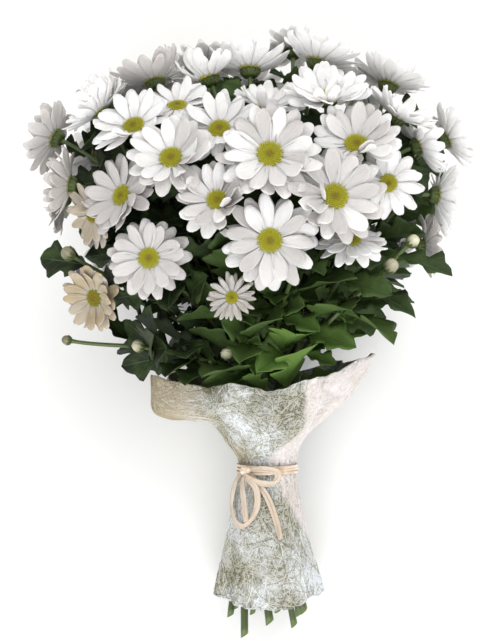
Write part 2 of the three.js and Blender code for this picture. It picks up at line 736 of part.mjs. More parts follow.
/** A flat strip along a line, with its face turned away from the wrap. */
function stripGeometry(line, wide, thick) {
  const curve = new THREE.CatmullRomCurve3(line);
  const steps = line.length + 1;
  const points = [];
  for (let k = 0; k <= steps; k++) {
    const middle = curve.getPoint(k / steps);
    const off = vec(middle.x - AXIS_X, 0, middle.z).normalize();
    const across = curve.getTangent(k / steps).cross(off).normalize();
    const out = across.clone().cross(curve.getTangent(k / steps)).normalize();
    for (const [s, t] of [
      [-1, -1],
      [1, -1],
      [1, 1],
      [-1, 1],
    ])
      points.push(
        middle
          .clone()
          .addScaledVector(across, (s * wide) / 2)
          .addScaledVector(out, (t * thick) / 2),
      );
  }
  const triangles = [
    [0, 1, 2],
    [0, 2, 3],
  ];
  for (let k = 0; k < steps; k++)
    for (let c = 0; c < 4; c++) {
      const [a, b] = [4 * k + c, 4 * k + ((c + 1) % 4)];
      triangles.push([a, a + 4, b + 4], [a, b + 4, b]);
    }
  const last = 4 * steps;
  triangles.push([last, last + 2, last + 1], [last, last + 3, last + 2]);
  return geometryOf(points, triangles);
}

/** The band round the waist with its knot, loops and tails, fused into one piece. */
function ribbonGeometry() {
  const inner = WRAP_SIDES.front[2][1] + GAP;
  const half = RIBBON.band / 2;
  const profile = [
    [inner, -half],
    [inner + 1.2, -half],
    [inner + 1.2, half],
    [inner, half],
    [inner, -half],
  ].map(([r, y]) => new THREE.Vector2(r, y));
  const band = new THREE.LatheGeometry(profile, 24).translate(AXIS_X, WAIST_Y, 0);
  const at = offWrap([0, 0, GAP + 4.1]);
  const knot = new THREE.SphereGeometry(RIBBON.knot, 7, 5).scale(1, 0.8, 0.9);
  knot.translate(at.x, at.y, at.z);
  const strips = [
    ...LOOPS.map((line) => stripGeometry(line.map(offWrap), RIBBON.loop, RIBBON.thick)),
    ...TAILS.map((line) => stripGeometry(line.map(offWrap), RIBBON.tail, RIBBON.thick)),
  ];
  return geometryFrom(wasm.Manifold.union([band, knot, ...strips].map(solidOf)));
}

// ---- Assembly -----------------------------------------------------------------------------------

const taken = new Taken();
const blooms = BLOOMS.map((b, k) => {
  const bloom = { ...b, name: "bloom_" + String(k + 1).padStart(2, "0"), seed: k + 1 };
  bloom.middle = vec(...b.at);
  bloom.axes = facing(b);
  taken.add(corePoints(bloom), bloom.name);
  return bloom;
});
for (const bloom of blooms) unfold(bloom, taken);

const sprays = [...Array(STEM.count).keys()].map((i) => {
  const line = new THREE.LineCurve3(stemPoint(i, CUT_ENDS[i]), stemPoint(i, STEM.top));
  return { name: "spray_" + i, line, ends: [], leaves: [] };
});
for (const spray of sprays) taken.add(spray.line.getPoints(60), spray.name);
taken.add(wrapPoints(), "wrap");

for (const { middle, axes } of blooms) {
  const base = middle.clone().addScaledVector(axes.z, -CUP_DEPTH - GAP);
  growStalk({ base, facing: axes.z }, taken);
}
for (const { at, radius } of BUDS) {
  const facing = vec(...at).sub(vec(AXIS_X, -40, 0)).normalize();
  const end = { base: vec(...at).addScaledVector(facing, -0.7 * radius), facing, radius };
  growStalk(end, taken);
  const corners = CORNERS.map((c) => vec(...c).multiplyScalar(radius / 1.7).add(vec(...at)));
  taken.add(corners, end.spray.name);
}
sprays.forEach((spray, i) => {
  spray.ends.forEach((end, k) => {
    for (const [share, length] of STALK_LEAVES.slice(0, end.base.y < LOW ? 2 : 1)) {
      const seed = 300 + 40 * i + 4 * k + share;
      growLeaf(spray, end.line[Math.round(50 * share)], length, 25, seed, taken);
    }
  });
  LEAF_HEIGHTS.forEach((y, k) => {
    growLeaf(spray, stemPoint(i, y), 62 - 4 * k, 30 + 10 * k, 100 + 10 * i + k, taken);
  });
});

/** A leafy stem with its stalks and buds, fused into one piece. */
function sprayGeometry(spray, i) {
  const parts = [tube(spray.line, STEM_RADII[i], STEM.sides, 1)];
  for (const end of spray.ends) {
    parts.push(tube(end.curve, STALK.radius, STALK.sides, STALK.steps));
    if (end.radius) parts.push(budGeometry(end, end.radius));
  }
  parts.push(...spray.leaves.map(leafGeometry));
  return geometryFrom(wasm.Manifold.union(parts.map(solidOf)));
}

const bunch = new THREE.Group();
for (const bloom of blooms) bunch.add(bloomMesh(bloom));
sprays.forEach((spray, i) => bunch.add(meshOf(spray.name, sprayGeometry(spray, i), "leaf")));
bunch.add(meshOf("wrap", wrapGeometry(), "wrap"));
bunch.add(meshOf("ribbon", ribbonGeometry(), "ribbon"));
bunch.rotation.x = LEAN;
bunch.position.set(...SHIFT, LIFT);

const part = new THREE.Group();
part.add(bunch);
export default part;
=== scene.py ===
"""A tied bunch of white daisy-flowered spray chrysanthemums, lying on its back on a pale floor.

The bunch is laid out in millimetres in a frame of its own, with +Y along its axis towards the crown and
+Z towards its front. The layout grows blooms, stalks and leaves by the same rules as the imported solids, so
that each fine piece lies where its solid does. One turn lays it down, and every mesh is in metres.
"""

import itertools
import logging
import math
from collections.abc import Callable, Iterable
from dataclasses import dataclass, field
from enum import Enum

import bmesh
import bpy
import numpy as np
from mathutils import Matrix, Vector


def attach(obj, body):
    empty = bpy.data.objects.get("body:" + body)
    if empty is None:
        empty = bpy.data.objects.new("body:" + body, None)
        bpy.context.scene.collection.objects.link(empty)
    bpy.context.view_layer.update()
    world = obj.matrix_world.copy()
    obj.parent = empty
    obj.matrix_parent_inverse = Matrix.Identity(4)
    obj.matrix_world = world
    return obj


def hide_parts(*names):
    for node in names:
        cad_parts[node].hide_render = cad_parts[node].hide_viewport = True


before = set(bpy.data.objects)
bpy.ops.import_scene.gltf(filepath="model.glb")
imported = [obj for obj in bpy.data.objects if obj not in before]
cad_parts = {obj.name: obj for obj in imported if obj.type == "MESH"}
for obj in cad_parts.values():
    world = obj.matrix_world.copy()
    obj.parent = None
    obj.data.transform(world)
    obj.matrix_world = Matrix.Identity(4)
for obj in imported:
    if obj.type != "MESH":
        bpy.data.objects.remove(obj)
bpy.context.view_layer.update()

LOG = logging.getLogger("bunch")
Triple = tuple[float, float, float]
Colour = tuple[float, float, float]
Frames = tuple[np.ndarray, np.ndarray, np.ndarray, np.ndarray]
UvRule = Callable[[Vector], tuple[float, float]]
Girth = Callable[[np.ndarray, np.ndarray], np.ndarray]

# ---- Driving dimensions (mm and degrees, in the bunch's own frame) ----------------------------------

# How the bunch leans back and how far it is lifted and shifted, so that it rests on the table.
LEAN = math.radians(15.0)
LIFT = 92.5
SHIFT = 2.6
# The bunch's axis and waist, the gap between pieces that meet, and how far below the table a point may lie.
AXIS_X = 13.0
WAIST_Y = -107.0
GAP = 0.4
SLACK = 0.01

# The main stems: their ring round the axis, how steeply they cross, where they end and their radii.
STEM_COUNT = 9
STEM_BUNDLE = 20.3
STEM_SLOPE = 0.2
STEM_TOP = 22.0
STEM_RADII = (2.6, 3.1, 2.4, 3.0, 2.8, 2.5, 3.1, 2.2, 2.7)
CUT_ENDS = (-219.0, -214.0, -222.0, -219.0, -229.0, -217.0, -214.0, -220.0, -218.0)

# The solids' blooms, and the lifts and lengths that their petals try in turn.
DISC_SHARE = 0.25
CUP_DEPTH = 7.0
ROW_LIFT = 7.0
PETAL_GAP = 4.3
PETAL_LIFTS = (0, 9, -9, 18, -18, 28, -28, 40, -40, 54, 70)
PETAL_LENGTHS = (1.0, 0.84, 0.68, 0.5)

# The stalks, and the stems, rises, swerves and bends that they try in turn.
STALK_STEPS = 4
STALK_GAP = 4.9
NEAREST_STEMS = 5
RISES = (0, 7, -7, 14, -14, 21, -21, 28, 36, 44)
SWERVES = (0, 12, -12, 24, -24, 38, -38)
BENDS = (0.3, 0.42, 0.2, 0.54, 0.1)

# The leaves: heights on the main stems, shares and lengths on the stalks, and the ways that they try.
LEAF_GAP = 5.0
LEAF_HEIGHTS = (-50.0, -36.0, -18.0, 2.0, 16.0)
STALK_LEAVES = ((0.4, 58.0), (0.62, 48.0))
LEAF_SIZES = (1, 0.8, 0.62)
LEAF_SWINGS = (0, 22, -22, 44, -44, 66, -66)
LEAF_UPS = (0, 18, -18, 34)
# Stalks that end below this height bear two leaves, and the others one.
LOW = 100.0

# The small leaves: shares up the stalks, twice over to the left of DENSE_X and only the first few on the
# stalk of a dark bud, and the lengths that they try in turn.
LEAFLET_GAP = 2.1
DENSE_X = -50.0
LEAFLET_SHARES = (0.06, 0.12, 0.19, 0.26, 0.33, 0.4, 0.47, 0.54, 0.61, 0.68, 0.75, 0.82, 0.9)
BARE_SHARES = 4
LEAFLET_LENGTHS = (44.0, 35.0, 27.0, 20.0)


@dataclass(frozen=True)
class Spot:
    """A bloom's place: middle of its disc, the way it faces, its reach and how far it is cupped."""

    at: Triple
    turn: float
    pitch: float
    reach: float
    cup: float


SPOTS = (
    Spot((14, 122, 95.3), 3, 16, 38, 34),
    Spot((14, 61, 98), 2, -4, 35, 12),
    Spot((60, 92, 98.2), 6, 12, 37, 24),
    Spot((-23, 89, 102), -3, 24, 31, 14),
    Spot((-72, 49, 86), -3, 0, 30, 14),
    Spot((-56, 120, 88), -8, 30, 34, 30),
    Spot((76, 130, 82), 4, 36, 35, 30),
    Spot((-92, 94, 75), -40, 14, 31, 27),
    Spot((99, 103, 76), 10, -4, 26, 10),
    Spot((73, 62, 74), 4, 54, 27, -6),
    Spot((-13, 21, 84), 0, 0, 18, 14),
    Spot((-22, 142, 74), -4, 36, 31, 30),
    Spot((56, 166, 60), 4, 48, 33, 32),
    Spot((-84, 145, 64), -20, 38, 32, 28),
    Spot((-53, 161, 52), -6, 58, 28, 24),
    Spot((12, 160, 56), 2, 62, 28, 30),
    Spot((-114, 21, 44), -34, -10, 26, 30),
    Spot((-133, 104, 42), -98, 8, 29, 42),
    Spot((-146, 141, 15), -110, 22, 30, 36),
    Spot((-111, 158, 38), -92, 50, 29, 38),
    Spot((-116, 82, 46), -52, -16, 25, 14),
    Spot((108, 154, 46), 70, 58, 32, 42),
    Spot((124, 133, 44), 96, 22, 28, 42),
    Spot((139, 97, 32), 102, -4, 29, 42),
    Spot((148, 141, 8), 100, 26, 30, 36),
    Spot((130, 60, 26), 96, 2, 25, 40),
    Spot((0, 191, 28), 180, 76, 34, 50),
    Spot((-30, 184, 34), -110, 70, 32, 48),
    Spot((-71, 183, 22), -130, 72, 33, 46),
    Spot((-110, 167, -1), -110, 54, 30, 42),
    Spot((50, 197, 26), 130, 70, 34, 48),
    Spot((104, 182, 8), 130, 66, 32, 44),
    Spot((33, 213, -34), 180, 70, 31, 16),
    Spot((-34, 202, -34), -165, 66, 31, 14),
    Spot((-86, 176, -42), -140, 48, 31, 14),
    Spot((84, 184, -46), 140, 50, 31, 14),
    Spot((0, 184, -78), 180, 44, 33, 12),
    Spot((-144, 98, -22), -98, 4, 29, 14),
    Spot((-120, 134, -56), -128, 22, 30, 14),
    Spot((-112, 62, -62), -126, -8, 28, 12),
    Spot((144, 92, -28), 98, 2, 29, 14),
    Spot((118, 140, -56), 128, 24, 30, 14),
    Spot((112, 58, -64), 128, -8, 28, 12),
    Spot((-46, 142, -104), -170, 14, 32, 8),
    Spot((46, 144, -106), 170, 14, 32, 8),
    Spot((0, 84, -115.6), 180, -15, 32, 20),
    Spot((-66, 62, -109.6), 180, -15, 30, 20),
    Spot((66, 60, -109), 180, -15, 30, 20),
)

# The middle and the radius of each unopened bud, and how pale it is.
BUDS = (
    ((118, 62, 60), 4.6, 0.9),
    ((102, 44, 62), 5.2, 0.45),
    ((-17, -20, 48), 4.4, 1.0),
    ((-134, 54, 34), 5, 0.25),
    ((-82, -14, 42), 4.4, 0.5),
    ((-136, -10, 24), 3.4, 0.0),
)


# ---- Wrap's shape -----------------------------------------------------------------------------------

WRAP_AROUND = 28
WRAP_RINGS = 9
# The place of the waist between the rings, where the wrap has no pleats.
WAIST_RING = 2.5
PLEATS = 7
PLEAT_DEPTH = 0.025
# Height and radius of the wrap at each ring, towards each side, and how sharply that side holds its shape.
WRAP_HEIGHTS = {
    "right": (-198, -165, -114, -100, -83, -70, -59, -42, -22),
    "left": (-200, -165, -114, -100, -88, -74, -70, -66, -38),
    "front": (-209, -168, -114, -100, -86, -74, -62, -53, -45),
    "back": (-203, -168, -114, -100, -86, -72, -58, -46, -36),
}
WRAP_RADII = {
    "right": (40, 31, 22, 22, 27, 38, 52, 64, 75),
    "left": (38, 32, 22, 22, 29, 40, 62, 83, 87),
    "front": (38, 33, 22, 22, 34, 43, 47, 49, 50),
    "back": (45, 34, 22, 22, 33, 42, 48, 52, 55),
}
WRAP_POWERS = {"right": 2.4, "left": 1.8, "front": 1.4, "back": 1.4}


def wrap_ring(a: float, ring: int) -> tuple[float, float]:
    """Height and radius of the wrap's outer skin at an angle round it, on one of its rings.

    Args:
        a: The angle.
        ring: The number of the ring, from the hem up.

    Returns:
        The height and the radius, both in mm.
    """
    c, s = math.cos(a), math.sin(a)
    ways = {"right": c, "left": -c, "front": s, "back": -s}
    weights = {side: max(0.0, way) ** WRAP_POWERS[side] for side, way in ways.items()}
    total = sum(weights.values())
    y, r = (
        sum(weight * table[side][ring] for side, weight in weights.items()) / total
        for table in (WRAP_HEIGHTS, WRAP_RADII)
    )
    from_waist = abs(ring - WAIST_RING) - 0.5
    pleat = PLEAT_DEPTH * min(4.0, from_waist) * math.sin(PLEATS * a + 0.5) * r
    return y + 0.3 * pleat, r + pleat


def wrap_points() -> np.ndarray:
    """Points spread over the wrap, for the test of what lies clear.

    Returns:
        The points, one a row.
    """
    points = []
    step = 0.0
    while step < WRAP_AROUND:
        a = 2 * math.pi * step / WRAP_AROUND
        for ring in range(4, WRAP_RINGS):
            (low_y, low_r), (high_y, high_r) = wrap_ring(a, ring - 1), wrap_ring(a, ring)
            for t in (0.33, 0.67, 1.0):
                r = low_r * (1 - t) + high_r * t
                points.append((AXIS_X + r * math.cos(a), low_y * (1 - t) + high_y * t, r * math.sin(a)))
        step += 1 / 3
    return pressed(np.array(points))


# ---- Layout: the same rules that place the solids ---------------------------------------------------


def noise(seed: float, index: float) -> float:
    """A fixed pseudo-random number from 0 to 1 for the given seed and index."""
    s = math.sin(seed * 127.1 + index * 311.7) * 43758.5453
    return s - math.floor(s)


def unit(v: np.ndarray) -> np.ndarray:
    """The vector at length one."""
    return v / np.linalg.norm(v)


def heights(points: np.ndarray) -> np.ndarray:
    """Heights above the table of points of the bunch's frame."""
    return points[..., 1] * math.sin(LEAN) + points[..., 2] * math.cos(LEAN) + LIFT


def pressed(points: np.ndarray, least: float | np.ndarray = 0.0) -> np.ndarray:
    """Lifts points straight up off the table where they would lie too low.

    Args:
        points: Points of the bunch's frame, one a row.
        least: The lowest height that a point may have.

    Returns:
        The points, moved up where they had to be.
    """
    rise = np.maximum(0.0, least - heights(points))
    return points + rise[..., None] * np.array([0.0, math.sin(LEAN), math.cos(LEAN)])


def laid_down(points: np.ndarray) -> np.ndarray:
    """Points of the bunch's frame (mm) as places on the table (m).

    Args:
        points: Points in millimetres, one a row.

    Returns:
        The same points on the table, in metres.
    """
    out = points.copy()
    out[:, 1] = points[:, 1] * math.cos(LEAN) - points[:, 2] * math.sin(LEAN) + SHIFT
    out[:, 2] = heights(points)
    return out / 1000.0


class Taken:
    """The points already taken up by pieces, in a grid of cells so that near ones are found fast."""

    CELL = 6.0
    NEIGHBOURS = tuple(itertools.product((-1, 0, 1), repeat=3))

    def __init__(self) -> None:
        """Starts with nothing taken."""
        self.grid: dict[tuple[int, int, int], list[tuple[float, float, float, str]]] = {}

    def _cell(self, x: float, y: float, z: float) -> tuple[int, int, int]:
        """The grid cell that holds a point."""
        return math.floor(x / self.CELL), math.floor(y / self.CELL), math.floor(z / self.CELL)

    def add(self, points: np.ndarray, owner: str) -> None:
        """Takes up the points for their owner."""
        for x, y, z in points.tolist():
            self.grid.setdefault(self._cell(x, y, z), []).append((x, y, z, owner))

    def clear(self, points: np.ndarray, gap: float, owner: str) -> bool:
        """Tests whether points lie clear.

        Args:
            points: The points to test.
            gap: The least distance to keep from what belongs to others.
            owner: Whose own points don't count.

        Returns:
            True if every point keeps the gap and stays above the table.
        """
        if float(heights(points).min()) < -SLACK:
            return False
        for x, y, z in points.tolist():
            i, j, k = self._cell(x, y, z)
            for a, b, c in self.NEIGHBOURS:
                for px, py, pz, other in self.grid.get((i + a, j + b, k + c), ()):
                    if other != owner and (px - x) ** 2 + (py - y) ** 2 + (pz - z) ** 2 < gap * gap:
                        return False
        return True


class Flower:
    """Where one bloom sits, how its axes stand and how each petal of its solid lies."""

    def __init__(self, number: int, spot: Spot) -> None:
        """Sets the flower in its place; `unfold` lays its petals.

        Args:
            number: The bloom's number, which also seeds its draws.
            spot: Its place.
        """
        self.name = f"bloom_{number:02d}"
        self.seed = number
        self.reach = spot.reach
        self.cup = spot.cup
        self.middle = np.array(spot.at, float)
        turn, pitch = math.radians(spot.turn), math.radians(spot.pitch)
        level = math.cos(pitch)
        self.z = np.array([math.sin(turn) * level, math.sin(pitch), math.cos(turn) * level])
        self.x = unit(np.cross([0.0, 1.0, 0.0], self.z))
        self.y = np.cross(self.z, self.x)
        self.disc = spot.reach * DISC_SHARE
        self.folds: list[tuple[float, float]] = []
        if spot.at[2] < -20:
            self.count = 12
        else:
            self.count = 16 if spot.reach > 33 else 14 if spot.reach > 29 else 12

    def outward(self, around: float) -> tuple[np.ndarray, np.ndarray]:
        """The directions out from the disc and sideways at an angle round it."""
        c, s = math.cos(around), math.sin(around)
        return self.x * c + self.y * s, self.y * c - self.x * s

    def _petal_points(self, index: int, lift: float, length: float) -> np.ndarray:
        """Points spread over petal `index` of the solid, laid at a lift and a share of its length.

        Args:
            index: The petal's number.
            lift: Degrees that it stands up more than its row.
            length: The share of its full length.

        Returns:
            The points, one a row.
        """

        def draw(k: int) -> float:
            """A number from -0.5 to 0.5 for this petal."""
            return noise(self.seed, 10 * index + k) - 0.5

        around = 2 * math.pi * (index + 0.5) / self.count + self.seed + math.radians(3 * draw(1))
        out, side = self.outward(around)
        row = ROW_LIFT if index % 2 else -ROW_LIFT
        full = (self.reach - self.disc) * (1 + 0.12 * draw(2)) * length
        root = math.radians(0.5 * self.cup + 0.5 * row + 0.7 * lift + 8 * draw(3))
        tip = math.radians(self.cup + row + lift + 22 * draw(4))
        middles = [self.middle + out * self.disc]
        radii = [self.disc]
        for share, angle in ((0.62, root), (0.38, tip)):
            radii.append(radii[-1] + full * share * math.cos(angle))
            along = out * math.cos(angle) + self.z * math.sin(angle)
            middles.append(middles[-1] + along * (full * share))
        fair = [0.47 * 2 * math.pi * r / self.count for r in radii]
        halves = [self.disc * math.sin(math.pi / self.count), min(0.17 * self.reach, fair[1])]
        halves.append(min(0.76 * halves[1], fair[2]))
        middles = pressed(np.array(middles))
        points = []
        for t in (0.4, 0.65, 0.9, 1.15, 1.4, 1.7, 2.0):
            i = min(1, int(t))
            middle = middles[i] * (1 - t + i) + middles[i + 1] * (t - i)
            half = halves[i] * (1 - t + i) + halves[i + 1] * (t - i)
            points += [middle + side * (s * half) for s in (-0.95, -0.5, 0.0, 0.5, 0.95)]
        return np.array(points)

    def core_points(self) -> np.ndarray:
        """Points over the disc and the green cup behind it.

        Returns:
            The points, one a row.
        """
        points = []
        for share, depth in ((0.95, 0.0), (0.45, 1.5), (0.7, -4.0), (0.4, -8.0)):
            for i in range(8):
                out, _ = self.outward(math.pi * i / 4)
                points.append(self.middle + out * (share * self.disc) + self.z * depth)
        return np.array(points)

    def unfold(self, taken: Taken) -> None:
        """Picks each petal's lift and length, the first in turn that lies clear of the other blooms.

        Args:
            taken: What is already in the way; the petals are added to it.
        """
        spread = []
        for i in range(self.count):
            for fold in ((lift, length) for length in PETAL_LENGTHS for lift in PETAL_LIFTS):
                points = self._petal_points(i, *fold)
                if taken.clear(points, PETAL_GAP, self.name):
                    break
            else:
                fold = (0, 0.3)
                points = self._petal_points(i, *fold)
            self.folds.append(fold)
            spread.append(points)
        taken.add(np.concatenate(spread), self.name)

    def fold_at(self, around: float) -> tuple[float, float]:
        """The lift (degrees) and share of the length of the petals at an angle round the disc.

        Args:
            around: The angle.

        Returns:
            The lift and the share.
        """
        place = (around - self.seed) * self.count / (2 * math.pi) - 0.5
        i = math.floor(place)
        part = place - i
        (lift_a, length_a), (lift_b, length_b) = (self.folds[k % self.count] for k in (i, i + 1))
        return lift_a * (1 - part) + lift_b * part, length_a * (1 - part) + length_b * part


def stem_point(i: int, y: float) -> np.ndarray:
    """A point of main stem i at height y; the stems cross at the waist in a spiral.

    Args:
        i: The stem's number.
        y: The height.

    Returns:
        The point.
    """
    a = 2 * math.pi * i / STEM_COUNT + 0.33
    ring = STEM_BUNDLE - STEM_RADII[i]
    along = STEM_SLOPE * (y - WAIST_Y)
    x = AXIS_X + ring * math.cos(a) - along * math.sin(a)
    return np.array([x, y, ring * math.sin(a) + along * math.cos(a)])


def carriers(point: np.ndarray) -> list[int]:
    """The main stems in order of how near below a point of the head they stand.

    Args:
        point: The point of the head.

    Returns:
        The stems' numbers, the nearest first.
    """

    def apart(i: int) -> float:
        """The angle round the axis from the point to stem i."""
        p = stem_point(i, 0.0)
        d = math.atan2(p[2], p[0] - AXIS_X) - math.atan2(point[2], point[0] - AXIS_X)
        return abs(math.atan2(math.sin(d), math.cos(d)))

    return sorted(range(STEM_COUNT), key=apart)


def bezier_weights(places: np.ndarray) -> np.ndarray:
    """The weights of a cubic curve's four control points at places from 0 to 1 along it."""
    t = places[:, None]
    return np.hstack([(1 - t) ** 3, 3 * (1 - t) ** 2 * t, 3 * (1 - t) * t**2, t**3])


FINE_PLACES = np.linspace(0.0, 1.0, 201)
FINE_WEIGHTS = bezier_weights(FINE_PLACES)


@dataclass
class Stalk:
    """A flower's or bud's stalk: the place it comes up to, the way it faces there, and its curve."""

    base: np.ndarray
    facing: np.ndarray
    bud: float = 0.0
    pale: float = 0.0
    stem: int = 0
    controls: np.ndarray = field(default_factory=lambda: np.zeros((4, 3)))

    def bend(self, stem: int, rise: float, swerve: float, bend: float) -> None:
        """Leads the stalk from a fork on a main stem up behind its flower.

        Args:
            stem: The number of the main stem.
            rise: How much higher the fork is than usual.
            swerve: How far the stalk swings aside.
            bend: How long its last stretch follows the way its flower faces, as a share of the whole.
        """
        y = min(STEM_TOP - 4, -34 + 0.24 * (self.base[1] - 20) + rise)
        fork = stem_point(stem, y)
        up = unit(stem_point(stem, y + 1) - fork)
        toward = self.base - fork
        span = float(np.linalg.norm(toward))
        aside = unit(toward - up * float(toward @ up))
        ahead = unit(up + 0.6 * aside)
        second = fork + ahead * (0.32 * span) + np.cross(up, aside) * swerve
        third = self.base - self.facing * (bend * span)
        self.stem = stem
        self.controls = np.array([fork, second, third, self.base])

    def line(self, count: int) -> np.ndarray:
        """Evenly spaced points along the stalk's straight lengths.

        Args:
            count: The number of steps between the points.

        Returns:
            The points, one a row.
        """
        path = FINE_WEIGHTS @ self.controls
        run = np.concatenate([[0.0], np.cumsum(np.linalg.norm(np.diff(path, axis=0), axis=1))])
        even = np.interp(np.linspace(0, 1, STALK_STEPS + 1) * run[-1], run, FINE_PLACES)
        knots = bezier_weights(even) @ self.controls
        places = np.linspace(0, STALK_STEPS, count + 1)
        steps = np.arange(STALK_STEPS + 1)
        return np.stack([np.interp(places, steps, knots[:, k]) for k in range(3)], axis=1)


@dataclass
class Blade:
    """A leaf's place: its root, length and arch, and the directions ahead, sideways and face up."""

    root: np.ndarray
    length: float
    arch: float
    ahead: np.ndarray
    side: np.ndarray
    face: np.ndarray
    seed: float

    def face_to(self, way: np.ndarray, roll: float) -> None:
        """Turns the leaf about its rib until it faces a way, and then by a roll.

        Args:
            way: The way to face.
            roll: The roll after that, in radians.
        """
        face = unit(way - self.ahead * float(way @ self.ahead))
        side = np.cross(self.ahead, face)
        self.side = side * math.cos(roll) + face * math.sin(roll)
        self.face = face * math.cos(roll) - side * math.sin(roll)

    def at(self, along: np.ndarray, out: np.ndarray) -> np.ndarray:
        """Points of the leaf, along its rib and out to the sides (shares of its length).

        Args:
            along: Shares along the rib.
            out: Shares out to the sides.

        Returns:
            The points, one a row.
        """
        rise = 0.35 * np.abs(out) - self.arch * along**2
        parts = ((along, self.ahead), (out, self.side), (rise, self.face))
        return self.root + sum(self.length * share[:, None] * way for share, way in parts)


LEAF_PLACES = (0.22, 0.34, 0.46, 0.56, 0.66, 0.76, 0.86, 1)
LEAF_HALVES = (0.12, 0.25, 0.2, 0.24, 0.3, 0.2, 0.13, 0)
# Places over a leaf, along it and out to the sides, for the test of what lies clear.
LEAF_SPREAD = np.array(
    [(along, half * s / 4) for along, half in zip(LEAF_PLACES, LEAF_HALVES) for s in range(-4, 5)]
)
# How many of them lie near its root, where it may touch its own spray.
NEAR_ROOT = 9


def leaf_from(root: np.ndarray, length: float, up: float, swing: float, arch: float, seed: float) -> Blade:
    """A leaf that grows from a point of a stem, outwards from the bunch's axis.

    Args:
        root: The point of the stem.
        length: The leaf's length.
        up: Degrees that it stands up towards the crown.
        swing: Degrees that it swings aside.
        arch: How far it arches down, as a share of its length.
        seed: The seed of its random draws.

    Returns:
        The leaf.
    """
    away = math.atan2(root[2], root[0] - AXIS_X) + math.radians(swing)
    rise = math.radians(up)
    side = np.array([-math.sin(away), 0.0, math.cos(away)])
    ahead = np.array([math.cos(away) * math.cos(rise), math.sin(rise), math.sin(away) * math.cos(rise)])
    face = unit(np.cross(side, ahead))
    roll = math.radians(80 * (noise(seed, 5) - 0.5))
    c, s = math.cos(roll), math.sin(roll)
    turned = [v * c + np.cross(ahead, v) * s for v in (side, face)]
    return Blade(root - 1.2 * ahead, length, arch, ahead, turned[0], turned[1], seed)


class Spray:
    """One cut stem of the layout with the stalks, buds and leaves that grow from it."""

    def __init__(self, index: int) -> None:
        """Starts with the bare stem.

        Args:
            index: The stem's number.
        """
        self.index = index
        self.name = f"spray_{index}"
        self.foot = stem_point(index, CUT_ENDS[index])
        self.top = stem_point(index, STEM_TOP)
        self.stalks: list[Stalk] = []
        self.leaves: list[Blade] = []
        self.leaflets: list[Blade] = []

    def grow_leaf(self, root: np.ndarray, length: float, up: float, seed: float, taken: Taken) -> None:
        """Adds a leaf where one lies clear; a leaf with no room isn't grown.

        Args:
            root: The point of the stem that it grows from.
            length: Its full length, which it has where there is room.
            up: Degrees that it stands up towards the crown.
            seed: The seed of its random draws.
            taken: What is already in the way.
        """
        arch = 0.12 + 0.2 * noise(seed, 2)
        for size, rise, swing in itertools.product(LEAF_SIZES, LEAF_UPS, LEAF_SWINGS):
            lift = up + rise + 40 * (noise(seed, 3) - 0.4)
            turn = swing + 60 * (noise(seed, 1) - 0.5)
            leaf = leaf_from(root, length * size, lift, turn, arch, seed)
            if self._settle(leaf, LEAF_GAP, taken):
                self.leaves.append(leaf)
                return

    def grow_leaflet(self, root: np.ndarray, seed: float, taken: Taken) -> None:
        """Adds a small leaf that turns its face outwards where one lies clear of what is taken.

        Args:
            root: The point of the stalk that it grows from.
            seed: The seed of its random draws.
            taken: What is already in the way.
        """
        outward = unit(root - np.array([AXIS_X, root[1] - 12.0, -30.0]))
        first = 360 * noise(seed, 1)
        up = 60 * noise(seed, 3) - 15
        arch = 0.1 + 0.25 * noise(seed, 2)
        roll = math.radians(90 * (noise(seed, 5) - 0.5))
        for turn, length in itertools.product(range(0, 360, 40), LEAFLET_LENGTHS):
            leaf = leaf_from(root, length, up, turn + first, arch, seed)
            leaf.face_to(outward, roll)
            if self._settle(leaf, LEAFLET_GAP, taken):
                self.leaflets.append(leaf)
                return

    def _settle(self, leaf: Blade, gap: float, taken: Taken) -> bool:
        """Takes up a leaf's space if it keeps the gap to the rest, and tells whether it does.

        Args:
            leaf: The leaf.
            gap: The least distance to keep.
            taken: What is already in the way; the leaf is added to it.

        Returns:
            True if the leaf has room.
        """
        points = leaf.at(LEAF_SPREAD[:, 0], LEAF_SPREAD[:, 1])
        near, far = points[:NEAR_ROOT], points[NEAR_ROOT:]
        if not (taken.clear(near, gap, self.name) and taken.clear(far, gap, "")):
            return False
        taken.add(points, self.name)
        return True


